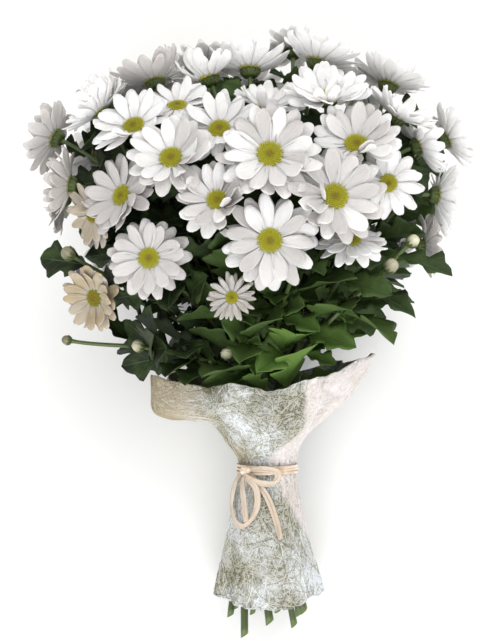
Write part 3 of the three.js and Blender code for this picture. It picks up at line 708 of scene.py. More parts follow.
class Layout:
    """The whole bunch's layout: flowers, sprays and the space that they take up."""

    def __init__(self) -> None:
        """Places everything in the order in which it grows."""
        self.taken = Taken()
        self.flowers = [Flower(k + 1, spot) for k, spot in enumerate(SPOTS)]
        for flower in self.flowers:
            self.taken.add(flower.core_points(), flower.name)
        for flower in self.flowers:
            flower.unfold(self.taken)
        self.sprays = [Spray(i) for i in range(STEM_COUNT)]
        for spray in self.sprays:
            part = np.linspace(0, 1, 61)[:, None]
            self.taken.add(spray.foot * (1 - part) + spray.top * part, spray.name)
        self.taken.add(wrap_points(), "wrap")
        self._grow_stalks()
        self._grow_leaves()

    def _grow_stalk(self, stalk: Stalk) -> None:
        """Grows a stalk the first way that lies clear of the petals and the other stalks.

        Args:
            stalk: The stalk, which still has no curve.
        """
        ways = list(itertools.product(carriers(stalk.base)[:NEAREST_STEMS], RISES, SWERVES, BENDS))
        for way in ways:
            stalk.bend(*way)
            points = stalk.line(40)
            if not self.taken.clear(points[3:12], STALK_GAP, f"spray_{way[0]}"):
                continue
            if self.taken.clear(points[12:38], STALK_GAP, ""):
                break
        else:
            stalk.bend(*ways[0])
        self.sprays[stalk.stem].stalks.append(stalk)
        self.taken.add(stalk.line(50), f"spray_{stalk.stem}")

    def _grow_stalks(self) -> None:
        """Grows the stalk of each flower and then of each bud."""
        for flower in self.flowers:
            self._grow_stalk(Stalk(flower.middle - flower.z * (CUP_DEPTH + GAP), flower.z))
        corners = np.array(list(itertools.product((-1, 1), repeat=3))) / 1.7
        for at, radius, pale in BUDS:
            middle = np.array(at, float)
            facing = unit(middle - np.array([AXIS_X, -40.0, 0.0]))
            stalk = Stalk(middle - facing * (0.7 * radius), facing, radius, pale)
            self._grow_stalk(stalk)
            self.taken.add(middle + corners * radius, f"spray_{stalk.stem}")

    def _grow_leaves(self) -> None:
        """Grows the leaves on each spray's stalks and then on its main stem."""
        for i, spray in enumerate(self.sprays):
            for k, stalk in enumerate(spray.stalks):
                line = stalk.line(50)
                for share, length in STALK_LEAVES[: 2 if stalk.base[1] < LOW else 1]:
                    seed = 300 + 40 * i + 4 * k + share
                    spray.grow_leaf(line[round(50 * share)], length, 25, seed, self.taken)
            for k, y in enumerate(LEAF_HEIGHTS):
                seed = 100 + 10 * i + k
                spray.grow_leaf(stem_point(i, y), 62 - 4 * k, 30 + 10 * k, seed, self.taken)
        for i, spray in enumerate(self.sprays):
            for k, stalk in enumerate(spray.stalks):
                line = stalk.line(50)
                bare = stalk.bud and not stalk.pale
                shares = LEAFLET_SHARES[: BARE_SHARES if bare else None]
                for n, share in enumerate(shares * (2 if stalk.base[0] < DENSE_X else 1)):
                    spray.grow_leaflet(line[round(50 * share)], 7000 + 97 * i + 11 * k + n, self.taken)


# ---- Forms and casts: small shapes made once, stamped many times ------------------------------------


class Form:
    """A small closed shape with the places of its points, ready to be bent into many copies."""

    def __init__(self, bm: bmesh.types.BMesh, finish: int, uv: UvRule) -> None:
        """Keeps a bmesh as a form.

        Args:
            bm: The shape in its own unit coordinates.
            finish: The place of its finish in its piece's list.
            uv: Gives a point's place on the UV map.
        """
        bmesh.ops.recalc_face_normals(bm, faces=bm.faces)
        layer = bm.loops.layers.uv.new("UVMap")
        for face in bm.faces:
            face.material_index = finish
            for loop in face.loops:
                loop[layer].uv = uv(loop.vert.co)
        self.points = np.array([v.co for v in bm.verts])
        fans = [
            [face.verts[0].index, face.verts[k].index, face.verts[k + 1].index]
            for face in bm.faces
            for k in range(1, len(face.verts) - 1)
        ]
        self.corners = np.array(fans).T
        self.meshes = [bpy.data.meshes.new("form"), bpy.data.meshes.new("form_turned")]
        for mesh in self.meshes:
            bm.to_mesh(mesh)
            bmesh.ops.reverse_faces(bm, faces=bm.faces)
        bm.free()

    def facing_out(self, points: np.ndarray) -> bpy.types.Mesh:
        """The mesh whose faces point out of the shape once its points lie in the given places."""
        a, b, c = (points[k] for k in self.corners)
        return self.meshes[int((a * np.cross(b, c)).sum() < 0)]


def doubled(bm: bmesh.types.BMesh) -> list[bmesh.types.BMVert]:
    """Closes an open sheet with a second layer, and returns that layer's points."""
    made = bmesh.ops.extrude_face_region(bm, geom=bm.faces[:], use_keep_orig=True)
    return [v for v in made["geom"] if isinstance(v, bmesh.types.BMVert)]


def blade_form(columns: int, rows: int, finish: int = 0) -> Form:
    """A flat closed blade: x across it from -1 to 1, y along it and z through it from 0 to 1.

    Args:
        columns: Faces across it.
        rows: Faces along it.
        finish: The place of its finish in its piece's list.

    Returns:
        The form.
    """
    bm = bmesh.new()
    bmesh.ops.create_grid(bm, x_segments=columns, y_segments=rows, size=1)
    bmesh.ops.scale(bm, vec=(1, 0.5, 1), verts=bm.verts)
    bmesh.ops.translate(bm, vec=(0, 0.5, 0), verts=bm.verts)
    bmesh.ops.translate(bm, vec=(0, 0, 1), verts=doubled(bm))
    return Form(bm, finish, lambda co: ((co.x + 1) / 2, co.y))


def turn_of(co: Vector) -> float:
    """How far round the z axis a point lies, from 0 to 1."""
    return math.atan2(co.y, co.x) / math.tau + 0.5


def pipe(sides: int, steps: int, closed: bool) -> bmesh.types.BMesh:
    """A pipe of radius one, with z along it from 0 to 1.

    Args:
        sides: Faces round it.
        steps: Faces along it.
        closed: Whether its ends are closed.

    Returns:
        The shape.
    """
    bm = bmesh.new()
    bmesh.ops.create_cone(bm, cap_ends=closed, segments=sides, radius1=1, radius2=1, depth=1)
    bmesh.ops.translate(bm, vec=(0, 0, 0.5), verts=bm.verts)
    lengths = [e for e in bm.edges if abs(e.verts[0].co.z - e.verts[1].co.z) > 0.5]
    bmesh.ops.subdivide_edges(bm, edges=lengths, cuts=steps - 1)
    return bm


def tube_form(sides: int, steps: int, finish: int = 0) -> Form:
    """A closed tube of radius one, with z along it from 0 to 1."""
    return Form(pipe(sides, steps, True), finish, lambda co: (turn_of(co), co.z))


def sleeve_form(around: int, up: int) -> Form:
    """An open-ended sleeve with a wall: radius 1 outside and 0.9 inside, z along it from 0 to 1."""
    bm = pipe(around, up, False)
    bmesh.ops.scale(bm, vec=(0.9, 0.9, 1), verts=doubled(bm))
    return Form(bm, 0, lambda co: (turn_of(co), co.z))


def ball_form(around: int, up: int, finish: int = 0) -> Form:
    """A round ball of radius one."""
    bm = bmesh.new()
    bmesh.ops.create_uvsphere(bm, u_segments=around, v_segments=up, radius=1)
    return Form(bm, finish, lambda co: (turn_of(co), (co.z + 1) / 2))


def bead_form(finish: int) -> Form:
    """A bead of twenty faces, for what is repeated very many times."""
    bm = bmesh.new()
    bmesh.ops.create_icosphere(bm, subdivisions=1, radius=1)
    return Form(bm, finish, lambda co: ((co.x + 1) / 2, (co.z + 1) / 2))


class Cast:
    """One piece of the model, gathered from many bent copies of a few forms."""

    def __init__(self, name: str) -> None:
        """Starts an empty piece."""
        self.name = name
        self.bm = bmesh.new()
        self.points: list[np.ndarray] = []
        self.shades: list[np.ndarray] = []

    def stamp(self, form: Form, points: np.ndarray, shade: float | np.ndarray = 0.5) -> None:
        """Adds a copy of a form.

        Args:
            form: The form.
            points: Where each of its points goes, in the bunch's frame.
            shade: Its tint from 0 to 1, which the finishes read, for all of it or for each point.
        """
        self.bm.from_mesh(form.facing_out(points))
        self.points.append(points)
        self.shades.append(np.broadcast_to(np.asarray(shade, float), len(points)))

    def dress(self, finishes: Iterable[bpy.types.Material]) -> bpy.types.Object:
        """Makes the piece's object, laid on the table in its finishes.

        Args:
            finishes: The materials, in the order that the forms name them.

        Returns:
            The object, linked to the scene.
        """
        mesh = bpy.data.meshes.new(self.name)
        self.bm.to_mesh(mesh)
        self.bm.free()
        mesh.vertices.foreach_set("co", laid_down(np.concatenate(self.points)).astype(np.float32).ravel())
        shade = mesh.attributes.new("shade", "FLOAT", "POINT")
        shade.data.foreach_set("value", np.concatenate(self.shades).astype(np.float32))
        mesh.polygons.foreach_set("use_smooth", [True] * len(mesh.polygons))
        for finish in finishes:
            mesh.materials.append(finish)
        mesh.update()
        piece = bpy.data.objects.new(self.name, mesh)
        bpy.context.scene.collection.objects.link(piece)
        return piece


class Slot(Enum):
    """The record's material slots."""

    PETAL = "petal"
    LEAF = "leaf"
    WRAP = "wrap"
    RIBBON = "ribbon"


def hand_over(piece: bpy.types.Object, slot: Slot, *nodes: str) -> bpy.types.Object:
    """Tells the frame what a piece rides on and hides the nodes that it stands for.

    Args:
        piece: The piece.
        slot: The finish of the record that it takes; not used.
        *nodes: The nodes that it stands for, if any.

    Returns:
        The piece.
    """
    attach(piece, "root")
    if nodes:
        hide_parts(*nodes)
    LOG.info("%s: %d faces", piece.name, len(piece.data.polygons))
    return piece


def smooth(t: np.ndarray | float, low: float = 0.0, high: float = 1.0) -> np.ndarray:
    """Rises smoothly from 0 to 1 as t goes from low to high."""
    s = np.clip((np.asarray(t, float) - low) / (high - low), 0.0, 1.0)
    return s * s * (3 - 2 * s)


def along_path(places: np.ndarray, path: np.ndarray) -> Frames:
    """Frames carried along a path without twist.

    Args:
        places: For each point of a form, how far along the path it lies, from 0 to 1.
        path: Points of the path, evenly spaced.

    Returns:
        For each point, the middle, the way sideways, the way up and the way ahead.
    """
    ahead = np.gradient(path, axis=0)
    ahead /= np.linalg.norm(ahead, axis=1)[:, None]
    guess = np.cross(ahead[0], [0.3, 0.1, 0.9])
    sides = [unit(guess - ahead[0] * float(guess @ ahead[0]))]
    for way in ahead[1:]:
        sides.append(unit(sides[-1] - way * float(sides[-1] @ way)))
    side = np.array(sides)
    up = np.cross(ahead, side)
    knots = np.linspace(0, 1, len(path))

    def carried(rows: np.ndarray) -> np.ndarray:
        """The rows of the path, read off at the form's places."""
        return np.stack([np.interp(places, knots, row) for row in rows.T], axis=1)

    return carried(path), carried(side), carried(up), carried(ahead)


def tube_along(form: Form, path: np.ndarray, radius: Girth) -> np.ndarray:
    """Bends a tube form along a path.

    Args:
        form: A tube form.
        path: Points of the path, evenly spaced.
        radius: The tube's radius for each point, from its share of the length and its angle round.

    Returns:
        The places of the form's points.
    """
    x, y, z = form.points.T
    middle, side, up, _ = along_path(z, path)
    r = radius(z, np.arctan2(y, x))[:, None]
    return middle + (side * x[:, None] + up * y[:, None]) * r


# ---- Finishes ---------------------------------------------------------------------------------------


class Board:
    """A material's board of nodes, with short ways to add the ones that the finishes use."""

    def __init__(self, name: str) -> None:
        """Makes a material whose board holds one principled shader."""
        self.material = bpy.data.materials.new(name)
        self.material.use_nodes = True
        self.tree = self.material.node_tree
        self.shader = self.tree.nodes["Principled BSDF"]

    def add(self, kind: str, settings: dict[str, object] | None = None, **inputs: object) -> bpy.types.Node:
        """Adds a node.

        Args:
            kind: The node's type, without the leading ShaderNode.
            settings: Its properties.
            **inputs: Values or output sockets for its inputs, named with _ for a space.

        Returns:
            The node.
        """
        node = self.tree.nodes.new("ShaderNode" + kind)
        for key, value in (settings or {}).items():
            setattr(node, key, value)
        for key, value in inputs.items():
            self.feed(node.inputs[key.replace("_", " ")], value)
        return node

    def feed(self, socket: bpy.types.NodeSocket, value: object) -> None:
        """Links an output to a socket, or sets the socket's own value.

        Args:
            socket: The socket.
            value: An output or a plain value.
        """
        if isinstance(value, bpy.types.NodeSocket):
            self.tree.links.new(value, socket)
        else:
            socket.default_value = value

    def math(self, operation: str, *values: object) -> bpy.types.NodeSocket:
        """The result of a sum on one to three values.

        Args:
            operation: The name of the sum.
            *values: Outputs or numbers.

        Returns:
            The output.
        """
        node = self.add("Math", {"operation": operation})
        for socket, value in zip(node.inputs, values):
            self.feed(socket, value)
        return node.outputs[0]

    def mix(self, factor: object, low: object, high: object) -> bpy.types.NodeSocket:
        """A blend of two colours.

        Args:
            factor: The share of the second colour.
            low: The first colour.
            high: The second colour.

        Returns:
            The output.
        """
        node = self.add("Mix", {"data_type": "RGBA"})
        colours = [c if isinstance(c, bpy.types.NodeSocket) else (*c, 1.0) for c in (low, high)]
        for socket, value in zip((node.inputs[0], node.inputs[6], node.inputs[7]), (factor, *colours)):
            self.feed(socket, value)
        return node.outputs[2]

    def spread(self, value: object, low: float, high: float) -> bpy.types.NodeSocket:
        """A value stretched so that low becomes 0 and high becomes 1, smoothly and clamped.

        Args:
            value: The value.
            low: What becomes 0.
            high: What becomes 1.

        Returns:
            The output.
        """
        node = self.add("MapRange", {"interpolation_type": "SMOOTHSTEP"}, Value=value)
        node.inputs["From Min"].default_value = low
        node.inputs["From Max"].default_value = high
        return node.outputs[0]

    def cloud(self, scale: float, detail: float = 3.0, **inputs: object) -> bpy.types.NodeSocket:
        """A noise pattern on object coordinates, or on the Vector among the inputs.

        Args:
            scale: How fine the pattern is.
            detail: How many finer patterns it adds up.
            **inputs: Other inputs of the noise node.

        Returns:
            The output.
        """
        if "Vector" not in inputs:
            inputs["Vector"] = self.place()
        return self.add("TexNoise", Scale=scale, Detail=detail, **inputs).outputs[0]

    def mottle(self, base: object, other: object, share: float, patches: object) -> bpy.types.NodeSocket:
        """The base colour, blended by a share with another colour where the patches are."""
        return self.mix(patches, base, self.mix(share, base, other))

    def place(self) -> bpy.types.NodeSocket:
        """The object coordinates."""
        return self.add("TexCoord").outputs["Object"]

    def shade(self) -> bpy.types.NodeSocket:
        """The tint that the piece's points carry."""
        return self.add("Attribute", {"attribute_name": "shade"}).outputs["Fac"]

    def uv(self) -> tuple[bpy.types.NodeSocket, bpy.types.NodeSocket]:
        """The two UV coordinates."""
        split = self.add("SeparateXYZ", Vector=self.add("TexCoord").outputs["UV"])
        return split.outputs[0], split.outputs[1]

    def bump(self, height: object, depth: float, strength: float = 1.0) -> None:
        """Roughens the surface by a height pattern of the given depth in metres."""
        node = self.add("Bump", Height=height, Distance=depth, Strength=strength)
        self.feed(self.shader.inputs["Normal"], node.outputs[0])

    def set(self, **values: object) -> bpy.types.Material:
        """Sets the shader's own sockets, named with _ for a space, and returns the material."""
        for key, value in values.items():
            self.feed(self.shader.inputs[key.replace("_", " ")], value)
        return self.material


# The tint of petals that carry the full painted grey shade of the front blooms; above it they turn creamy.
PAINTED_SHADE_TINT = 0.15


@dataclass(frozen=True)
class PetalFinish:
    """Soft petals with fine grooves: white at a `shade` of 0, grey with painted shade at the tint of full
    painted shade, and creamy tan at 1, partly their own cream and partly painted shade.
    """

    white: Colour = (0.97, 0.955, 0.94)
    painted_shade: Colour = (0.52, 0.5, 0.485)
    cream_and_shade: Colour = (0.42, 0.34, 0.21)
    shadow: Colour = (0.6, 0.58, 0.58)
    root: Colour = (0.5, 0.53, 0.2)
    grooves: float = 7.0

    def material(self) -> bpy.types.Material:
        """The finish as a material.

        Returns:
            The material.
        """
        board = Board("petal_white")
        across, along = board.uv()
        tint = board.shade()
        # Painted shade: the petals of blooms towards the front of the bunch are greyed.
        shade_greyed = board.mix(board.spread(tint, 0.0, PAINTED_SHADE_TINT), self.white, self.painted_shade)
        tinted = board.mix(board.spread(tint, PAINTED_SHADE_TINT, 1.0), shade_greyed, self.cream_and_shade)
        mottled = board.mottle(tinted, self.shadow, 0.5, board.spread(board.cloud(70.0), 0.4, 0.75))
        # Painted shade: the petals darken towards their roots, where they crowd round the disc.
        deep_tone_and_shade = board.mottle(mottled, self.shadow, 0.38, board.spread(along, 0.5, 0.0))
        base = board.mix(board.spread(along, 0.16, -0.02), deep_tone_and_shade, self.root)
        waver = board.math("MULTIPLY", board.cloud(40.0), 0.6)
        place = board.math("ADD", across, waver)
        wave = board.math("SINE", board.math("MULTIPLY", place, self.grooves * math.tau))
        board.bump(wave, 0.00012, 0.5)
        return board.set(
            Base_Color=base,
            Roughness=0.55,
            Subsurface_Weight=0.8,
            Subsurface_Radius=(1.0, 0.95, 0.9),
            Subsurface_Scale=0.0012,
            Specular_IOR_Level=0.3,
        )


@dataclass(frozen=True)
class FloretFinish:
    """The disc's florets: olive in the middle, yellow-green further out and golden at the rim."""

    middle: Colour = (0.16, 0.11, 0.004)
    ring: Colour = (0.3, 0.3, 0.005)
    rim: Colour = (0.5, 0.45, 0.014)

    def material(self) -> bpy.types.Material:
        """The finish as a material.

        Returns:
            The material.
        """
        board = Board("floret_yellow")
        radius = board.shade()
        inner = board.mix(board.spread(radius, 0.15, 0.55), self.middle, self.ring)
        outer = board.mix(board.spread(radius, 0.72, 0.98), inner, self.rim)
        speckled = board.mottle(outer, self.rim, 0.35, board.spread(board.cloud(900.0), 0.3, 0.7))
        return board.set(Base_Color=speckled, Roughness=0.6, Subsurface_Weight=0.1, Subsurface_Scale=0.0008)


@dataclass(frozen=True)
class GreenFinish:
    """A plant green with a soft mottle; `shade` runs from the dark colour to the light one."""

    name: str
    dark: Colour
    light: Colour
    roughness: float = 0.5

    def material(self) -> bpy.types.Material:
        """The finish as a material.

        Returns:
            The material.
        """
        board = Board(self.name)
        base = board.mix(board.shade(), self.dark, self.light)
        patches = board.mottle(base, self.light, 0.5, board.spread(board.cloud(120.0), 0.3, 0.7))
        across, _ = board.uv()
        ribs = board.math("SINE", board.math("MULTIPLY", across, 10 * math.tau))
        board.bump(ribs, 0.00008, 0.6)
        return board.set(Base_Color=board.mix(0.4, base, patches), Roughness=self.roughness)


@dataclass(frozen=True)
class LeafFinish:
    """Lobed leaves with paler veins; `shade` runs from the dark green to the light one."""

    dark: Colour = (0.009, 0.014, 0.006)
    light: Colour = (0.13, 0.23, 0.05)
    vein: Colour = (0.07, 0.13, 0.045)
    veins: float = 5.0

    def material(self) -> bpy.types.Material:
        """The finish as a material.

        Returns:
            The material.
        """
        board = Board("leaf_green")
        across, along = board.uv()
        off = board.math("ABSOLUTE", board.math("SUBTRACT", across, 0.5))
        rib = board.spread(off, 0.022, 0.008)
        slant = board.math("SUBTRACT", along, board.math("MULTIPLY", off, 0.55))
        turns = board.math("FRACT", board.math("MULTIPLY", slant, self.veins))
        saw = board.math("ABSOLUTE", board.math("SUBTRACT", turns, 0.5))
        side = board.math("MULTIPLY", board.spread(saw, 0.05, 0.0), 0.6)
        lines = board.math("MAXIMUM", rib, side)
        base = board.mix(board.shade(), self.dark, self.light)
        mottled = board.mottle(base, self.light, 0.18, board.spread(board.cloud(90.0, 4.0), 0.35, 0.7))
        board.bump(board.math("ADD", board.math("MULTIPLY", lines, -1.0), board.cloud(500.0)), 0.0003, 0.7)
        return board.set(
            Base_Color=board.mix(board.math("MULTIPLY", lines, 0.7), mottled, self.vein),
            Roughness=0.55,
            Specular_IOR_Level=0.2,
        )


@dataclass(frozen=True)
class WebFinish:
    """The wrap's plant fibres: pale blotches over darker ones, tan to the left (partly painted shade) and
    blush to the right.
    """

    name: str
    dark: Colour
    pale: Colour
    tan_and_shade: Colour = (0.44, 0.36, 0.22)
    blush: Colour = (0.95, 0.88, 0.86)
    lines: float = 0.0

    def web(self, board: Board) -> bpy.types.NodeSocket:
        """A pattern of curled fibres, from 0 in the gaps to 1 on a fibre.

        Args:
            board: The board to draw it on.

        Returns:
            The output.
        """
        place = board.place()
        lines: object = 0.0
        for k, scale in enumerate((170.0, 260.0, 380.0)):
            turned = board.add("Mapping", Vector=place)
            turned.inputs["Location"].default_value = (0.31 * k, 0.17 * k, 0.23 * k)
            cloud = board.cloud(scale, 1.0, Vector=turned.outputs[0], Distortion=0.6)
            thin = board.spread(board.math("ABSOLUTE", board.math("SUBTRACT", cloud, 0.5)), 0.06, 0.015)
            lines = board.math("MAXIMUM", lines, thin)
        return lines

    def material(self) -> bpy.types.Material:
        """The finish as a material.

        Returns:
            The material.
        """
        board = Board(self.name)
        ground = board.mix(board.spread(board.cloud(30.0, 6.0), 0.34, 0.66), self.dark, self.pale)
        if self.lines:
            lines = self.web(board)
            ground = board.mix(board.math("MULTIPLY", lines, self.lines), ground, self.pale)
            board.bump(lines, 0.0005, 0.8)
        side = board.shade()
        # Partly painted shade: the left side of the wrap leans to a darker tan.
        tan_and_shaded = board.mix(board.math("MULTIPLY", board.spread(side, 0.5, 0.0), 0.78), ground, self.tan_and_shade)
        base = board.mix(board.math("MULTIPLY", board.spread(side, 0.5, 1.0), 0.72), tan_and_shaded, self.blush)
        return board.set(Base_Color=base, Roughness=0.75, Specular_IOR_Level=0.25)


@dataclass(frozen=True)
class RibbonFinish:
    """Thin ribbon in pale pink cream, with fine lengthwise threads."""

    pale: Colour = (0.88, 0.76, 0.63)
    deep_tone_and_shade: Colour = (0.6, 0.45, 0.31)
    threads: float = 4.0

    def material(self) -> bpy.types.Material:
        """The finish as a material.

        Returns:
            The material.
        """
        board = Board("ribbon_satin")
        across, _ = board.uv()
        wave = board.math("SINE", board.math("MULTIPLY", across, self.threads * math.tau))
        board.bump(wave, 0.0002, 0.8)
        patches = board.spread(board.cloud(60.0), 0.35, 0.8)
        # Painted shade in the grooves between the threads, over random patches of a deeper tone.
        tone_and_groove_shade = board.math("MAXIMUM", patches, board.spread(wave, -0.2, -1.0))
        base = board.mix(tone_and_groove_shade, self.pale, self.deep_tone_and_shade)
        return board.set(Base_Color=base, Roughness=0.35, Sheen_Weight=0.3, Specular_IOR_Level=0.5)


@dataclass(frozen=True)
class FloorFinish:
    """A plain pale floor with the faintest unevenness."""

    pale: Colour = (0.93, 0.93, 0.92)

    def material(self) -> bpy.types.Material:
        """The finish as a material."""
        board = Board("floor_pale")
        tone = tuple(c * 0.985 for c in self.pale)
        return board.set(Base_Color=board.mix(board.cloud(2.0), self.pale, tone), Roughness=0.9)


# ---- Blooms -----------------------------------------------------------------------------------------


class Kit:
    """The forms that the blooms and sprays are stamped from."""

    def __init__(self) -> None:
        """Makes each form once."""
        self.petal = blade_form(6, 7)
        self.far_petal = blade_form(4, 6)
        self.dome = ball_form(20, 10, 1)
        self.floret = bead_form(1)
        self.cup = ball_form(16, 8, 2)
        self.bract = blade_form(2, 3, 2)
        self.stem = tube_form(16, 48)
        self.stalk = tube_form(8, 24)
        self.leaf = blade_form(8, 26, 1)
        self.leaflet = blade_form(4, 14, 1)
        self.bud = ball_form(24, 12, 3)
        self.sepal = blade_form(2, 4, 2)


# Steps along a petal's bend, and the turn from one floret to the next in their spiral.
PETAL_STEPS = 30
GOLDEN_TURN = 2.39996


def summed(slopes: np.ndarray) -> np.ndarray:
    """How far a line of length one has come at each of its steps, from its slopes there."""
    return np.concatenate([[0.0], np.cumsum((slopes[1:] + slopes[:-1]) / (2 * PETAL_STEPS))])


@dataclass
class Bloom:
    """A bloom: two rows of grooved petals round a disc of florets, with a green cup behind."""

    flower: Flower
    # Petals in the outer and the inner row, and half a petal's width as a share of the bloom's reach.
    outer: int
    inner: int
    width: float
    # How creamy the petals are (their own cream together with painted shade) and how much painted grey shade
    # they carry, from 0 to 1, and whether they have more faces.
    cream_and_shade: float
    painted_shade: float
    near: bool
    # Thickness and grooves in mm, and how unevenly the petals lie, in shares and in degrees.
    thickness: float = 0.5
    ridge: float = 0.26
    length_spread: float = 0.16
    width_spread: float = 0.24
    notch: float = 0.035
    sway: float = 0.16
    root_spread: float = 7.0
    tip_spread: float = 40.0
    droop: float = 5.0
    droop_spread: float = 50.0
    twist: float = 46.0
    # The disc, whose florets are all darkened above this creaminess, partly as riper florets and partly as
    # painted shade, and the cup.
    florets: int = 130
    ripe_and_shaded_from: float = 0.5
    cup_depth: float = 6.3
    bracts: int = 14

    def draw(self, *keys: float) -> float:
        """A number from -0.5 to 0.5 for one of this bloom's details."""
        return noise(self.flower.seed + 0.37, sum(k * w for k, w in zip(keys, (1.0, 61.0)))) - 0.5

    def petal(self, form: Form, index: int, around: float, row: int) -> np.ndarray:
        """One petal.

        Args:
            form: The flat petal.
            index: Its number, for its own random draws.
            around: The angle of its root round the disc.
            row: 0 in the lower row and 1 in the upper one.

        Returns:
            The places of the form's points.
        """
        flower = self.flower
        x, y, layer = form.points.T
        lift, share = flower.fold_at(around)
        lean = ROW_LIFT * (2.2 if row else -1.0)
        root = math.radians(
            0.5 * flower.cup + 0.6 * lean + 0.7 * lift + self.root_spread * self.draw(index, 1)
        )
        tip = math.radians(flower.cup + lean + lift + self.tip_spread * self.draw(index, 2))
        droop = math.radians(self.droop + self.droop_spread * self.draw(index, 3))
        start = 0.78 * flower.disc
        full = 1.01 + self.length_spread * self.draw(index, 4) - 0.1 * row
        length = (flower.reach - start) * full * share
        half = self.width * flower.reach * (1 + self.width_spread * self.draw(index, 5))
        half *= (1 - 0.06 * row) * share**0.4
        out, side = flower.outward(around)
        reach = y * (1 - 0.2 * np.abs(x) ** 2.6 * smooth(y, 0.45, 1.0))
        depth = self.notch * max(0.0, 0.6 + self.draw(index, 6))
        notch = depth * np.exp(-((x + self.draw(index, 7)) / 0.25) ** 2)
        reach -= notch * smooth(y, 0.85, 1.0)
        t = np.linspace(0, 1, PETAL_STEPS + 1)
        angle = root + (tip - root) * smooth(t, 0.2, 0.95) - droop * t**3
        run, rise = (np.interp(reach, t, summed(way(angle)) * length)[:, None] for way in (np.cos, np.sin))
        slope = np.interp(reach, t, angle)[:, None]
        normal = flower.z * np.cos(slope) - out * np.sin(slope)
        twist = (math.radians(self.twist) * self.draw(index, 8) * y)[:, None]
        across = -side * np.cos(twist) + normal * np.sin(twist)
        normal = normal * np.cos(twist) + side * np.sin(twist)
        wide = half * (0.34 + 0.66 * smooth(y, -0.1, 0.58)) * (1 - 0.16 * smooth(y, 0.75, 1.0))
        dish = half * (0.34 * (1 - y) - (0.14 + 0.3 * self.draw(index, 9)) * y) * x**2
        ridge = self.ridge * np.cos(2 * math.pi * x) * smooth(y, 0.05, 0.35) * (1 - 0.6 * smooth(y, 0.8, 1.0))
        high = dish + ridge + (layer - 1) * self.thickness * (1 - 0.45 * x**2)
        sway = self.sway * self.draw(index, 10) * length * y**2
        points = flower.middle + out * start + flower.z * (0.5 * row - 0.9) + out * run + flower.z * rise
        points += across * (x * wide + sway)[:, None] + normal * high[:, None]
        down = heights(flower.z) - LIFT < 0
        return pressed(points, 0.45 * (1 - layer if down else layer))

    def dome(self, share: np.ndarray | float) -> np.ndarray:
        """Height of the disc's dome at a share of its radius."""
        share = np.minimum(np.asarray(share, float), 1.0)
        return self.flower.disc * (0.3 * (1 - share**2) ** 0.6 - 0.1 * np.exp(-((share / 0.35) ** 2)))

    def lay_disc(self, cast: Cast, kit: Kit) -> None:
        """Lays the dome and its florets in their spiral.

        Args:
            cast: The piece that it becomes part of.
            kit: The forms to stamp.
        """
        flower = self.flower
        x, y, z = kit.dome.points.T
        share = np.hypot(x, y)
        level = np.where(z > 0, self.dome(share) - 0.4, 0.25 * flower.disc * z)
        flat = flower.x * x[:, None] + flower.y * y[:, None]
        cast.stamp(kit.dome, flower.middle + flat * (0.96 * flower.disc) + flower.z * level[:, None], share)
        bead = kit.floret.points
        spacing = 0.95 * flower.disc * math.sqrt(math.pi / self.florets)
        for k in range(self.florets):
            share = math.sqrt((k + 0.5) / self.florets)
            out, side = flower.outward(k * GOLDEN_TURN + flower.seed)
            open_out = float(smooth(share, 0.6, 0.95))
            size = spacing * (0.55 + 0.1 * self.draw(k, 20))
            tall = spacing * (0.5 + 0.75 * open_out) * (1 + 0.5 * self.draw(k, 21))
            high = float(self.dome(share) - 0.2)
            middle = flower.middle + out * (0.95 * flower.disc * share) + flower.z * high
            lean = out * (0.45 * open_out * bead[:, 2:] * tall)
            round_it = out * (bead[:, :1] * size) + side * (bead[:, 1:2] * size)
            # Partly painted shade: on the creamiest blooms all florets take the darker colours.
            ripe_and_shaded = share * (0.4 if self.cream_and_shade > self.ripe_and_shaded_from else 1.0)
            cast.stamp(kit.floret, middle + round_it + flower.z * (bead[:, 2:] * tall) + lean, ripe_and_shaded)

    def lay_cup(self, cast: Cast, kit: Kit) -> None:
        """Lays the green cup behind the petals and the bracts that close over it.

        Args:
            cast: The piece that it becomes part of.
            kit: The forms to stamp.
        """
        flower = self.flower
        wide = 0.84 * flower.disc
        x, y, z = kit.cup.points.T
        level = np.where(z < 0, self.cup_depth * z, 0.4 * z) - 1.1
        flat = flower.x * x[:, None] + flower.y * y[:, None]
        cast.stamp(kit.cup, pressed(flower.middle + flat * wide + flower.z * level[:, None]), 0.35)
        x, y, layer = kit.bract.points.T
        for k in range(self.bracts):
            out, side = flower.outward(math.tau * k / self.bracts + flower.seed)
            turn = -1.05 + y * (1.0 + 0.3 * self.draw(k, 30))
            off = 0.25 + 0.35 * layer + 0.5 * y**3 + 0.15 * (k % 2)
            across = -side * (x * wide * 0.26 * (1 - 0.85 * y**2.2))[:, None]
            outwards = out * ((wide + off) * np.cos(turn))[:, None]
            upwards = flower.z * ((self.cup_depth + off) * np.sin(turn) - 1.1)[:, None]
            body = flower.middle + (outwards + upwards) + across
            cast.stamp(kit.bract, pressed(body), 0.5 + 0.5 * self.draw(k, 31))

    def build(self, kit: Kit, finishes: list[bpy.types.Material]) -> bpy.types.Object:
        """Builds the bloom and hands it over in place of its solid.

        Args:
            kit: The forms to stamp.
            finishes: The materials that the forms name by number.

        Returns:
            The piece.
        """
        cast = Cast(self.flower.name + "_fine")
        form = kit.petal if self.near else kit.far_petal
        for row, count in enumerate((self.outer, self.inner)):
            for k in range(count):
                index = k + 20 * row
                wobble = 0.3 * self.draw(index, 11)
                around = math.tau * (k + 0.5 * row + wobble) / count + self.flower.seed
